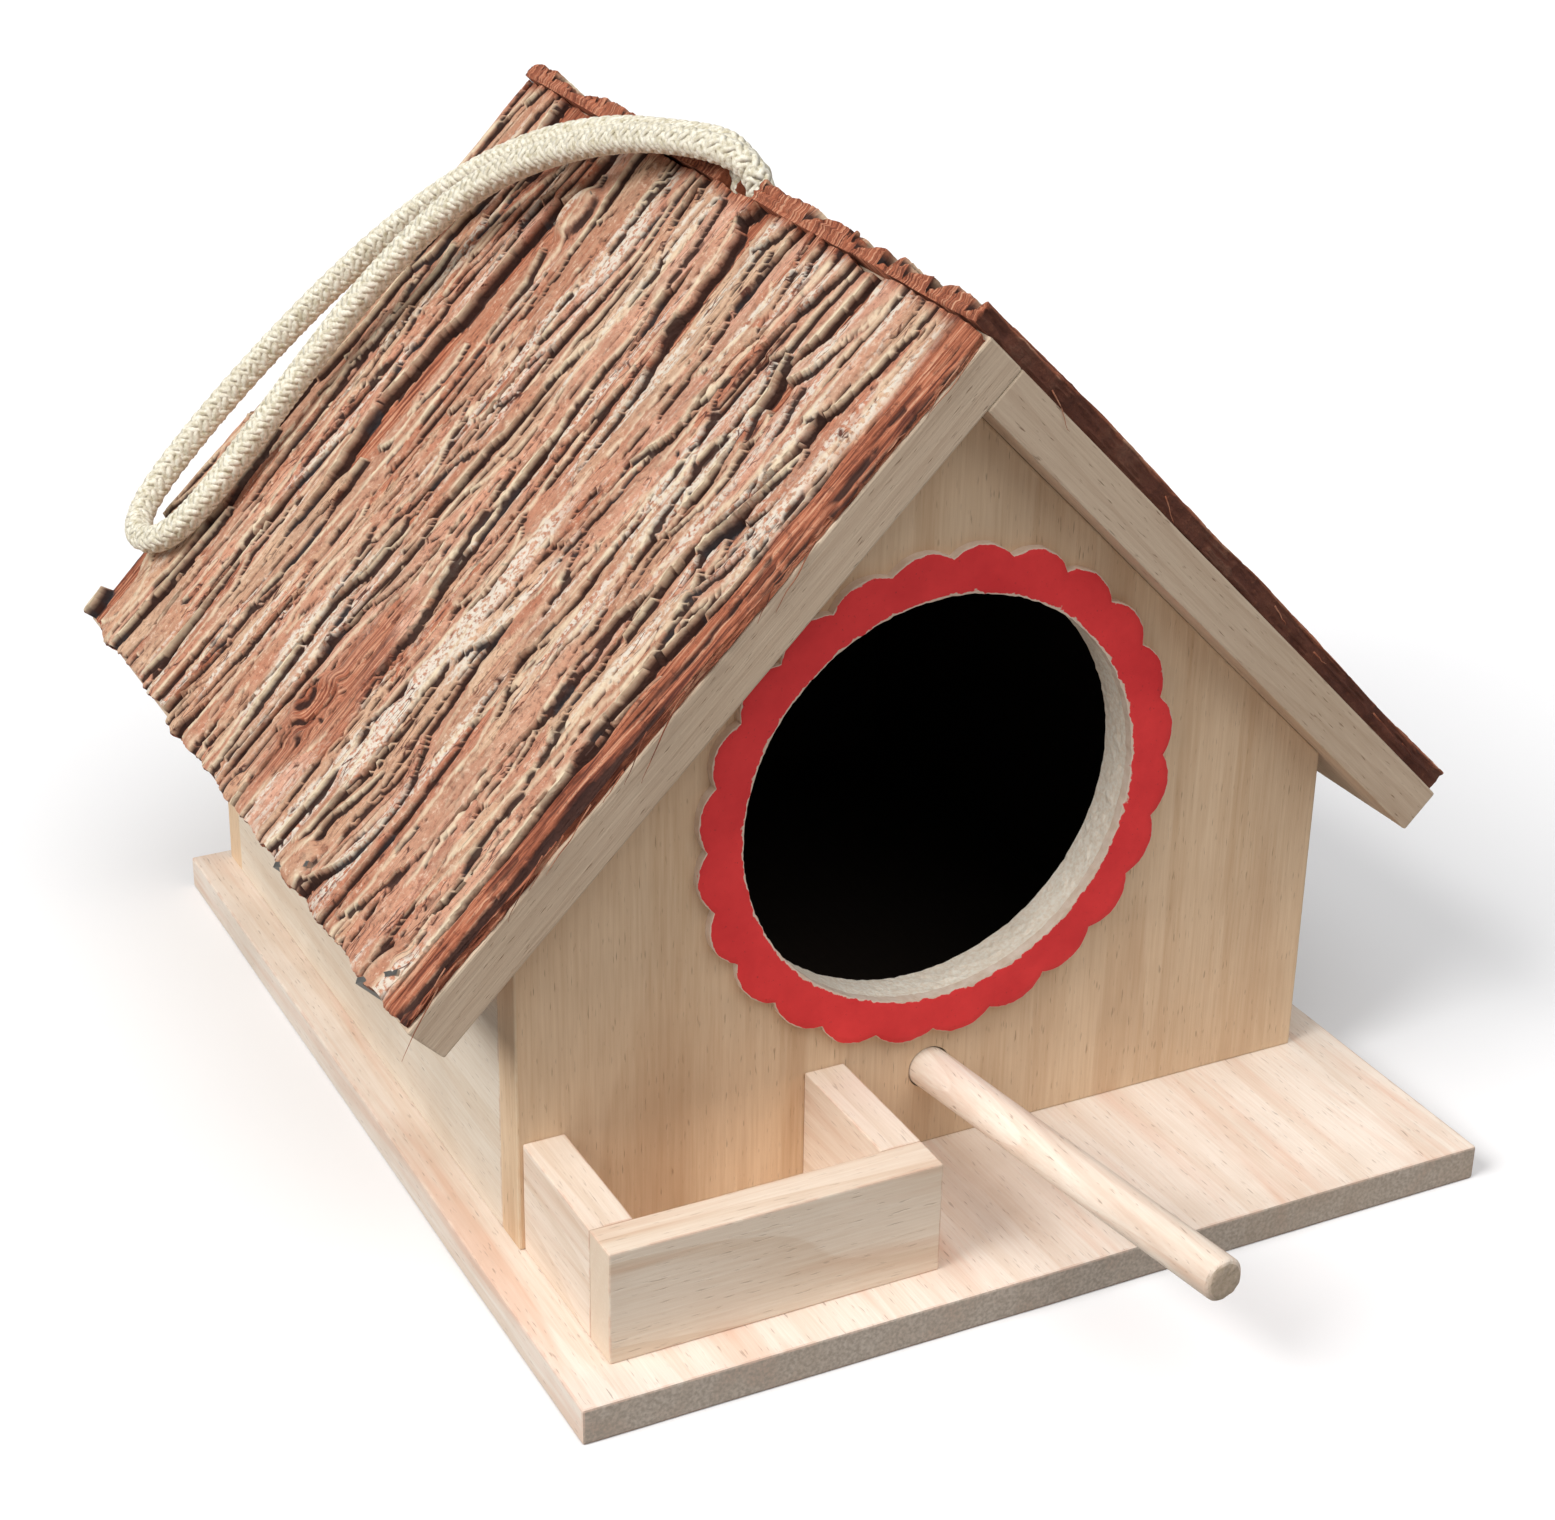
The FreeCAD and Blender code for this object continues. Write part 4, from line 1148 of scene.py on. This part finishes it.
# ---------------------------------------------------------------- fasteners
# Bright wire staples hold the bark down, and small wire nails hold the boards. The staples'
# crowns lie almost level with the bark, and the nails' heads with the wood.
steel, tree, shader, spot = new_material("bright wire")
scratch = noise_at(tree, spot, 2200.0)
tarnish = noise_at(tree, spot, 300.0, 3.0)
wire_colour = ramp(tree, tarnish, (0.0, card(134, 130, 124)), (1.0, card(214, 212, 208)))
wire_up(tree, shader, {"Metallic": 1.0, "Base Color": wire_colour,
                       "Roughness": ranged(tree, scratch, bottom=0.22, top=0.5),
                       "Normal": bumped(tree, scratch, 0.3, 0.02 * mm)})
for name in ("bark_staples", "roof_nails", "base_nails"):
    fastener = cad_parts[name]
    fastener.data.materials.clear()
    fastener.data.materials.append(steel)


# ---------------------------------------------------------------- floor and light
# A plain pale floor, a pale surround and two large soft lamps, the stronger one above and
# to the left.
floor_half = 4.0
floor_mesh = bpy.data.meshes.new("floor")
floor_mesh.from_pydata([(-floor_half, -floor_half, 0), (floor_half, -floor_half, 0),
                        (floor_half, floor_half, 0), (-floor_half, floor_half, 0)], [], [(0, 1, 2, 3)])
floor = bpy.data.objects.new("floor", floor_mesh)
floor.location.z = cad_box[0].z - 0.05 * mm
bpy.context.scene.collection.objects.link(floor)
pale, tree, shader, spot = new_material("pale floor")
seen = place(tree, "LightPath").outputs["Is Camera Ray"]
floor_colour = mixed(tree, seen, (0.32, 0.32, 0.32, 1), (0.95, 0.95, 0.965, 1))
wire_up(tree, shader, {"Base Color": floor_colour, "Roughness": 0.9, "Specular IOR Level": 0.1})
floor_mesh.materials.append(pale)

surround = bpy.data.worlds.new("surround")
surround.use_nodes = True
bpy.context.scene.world = surround
sky = surround.node_tree
seen = place(sky, "LightPath").outputs["Is Camera Ray"]
way_up = place(sky, "SeparateXYZ", {"Vector": place(sky, "TexCoord").outputs["Generated"]})
sky_glow = ranged(sky, way_up.outputs["Z"], 0.0, 1.0, bottom=0.1, top=0.42,
                  interpolation_type="SMOOTHSTEP")
sky_strength = place(sky, "Mix", {"Factor": seen, "A": sky_glow, "B": 0.97}, data_type="FLOAT")
sky.nodes["Background"].inputs["Color"].default_value = (0.97, 0.985, 1.0, 1)
sky.links.new(sky_strength.outputs["Result"], sky.nodes["Background"].inputs["Strength"])


def soft_lamp(name, spot, power, spread_angle, tint):
    """Far lamp whose soft light comes from the direction of `spot`."""
    data = bpy.data.lights.new(name, "SUN")
    data.angle = math.radians(spread_angle)
    data.energy = power
    data.color = tint
    lamp = bpy.data.objects.new(name, data)
    lamp.location = spot
    lamp.rotation_euler = Vector(spot).to_track_quat("Z", "Y").to_euler()
    bpy.context.scene.collection.objects.link(lamp)


soft_lamp("key lamp", (-0.76, -0.08, 0.64), 2.4, 32.0, (1.0, 0.985, 0.96))
soft_lamp("fill lamp", (0.05, -0.46, 0.88), 1.3, 60.0, (1.0, 0.99, 0.975))
bpy.context.scene.view_settings.view_transform = "Standard"
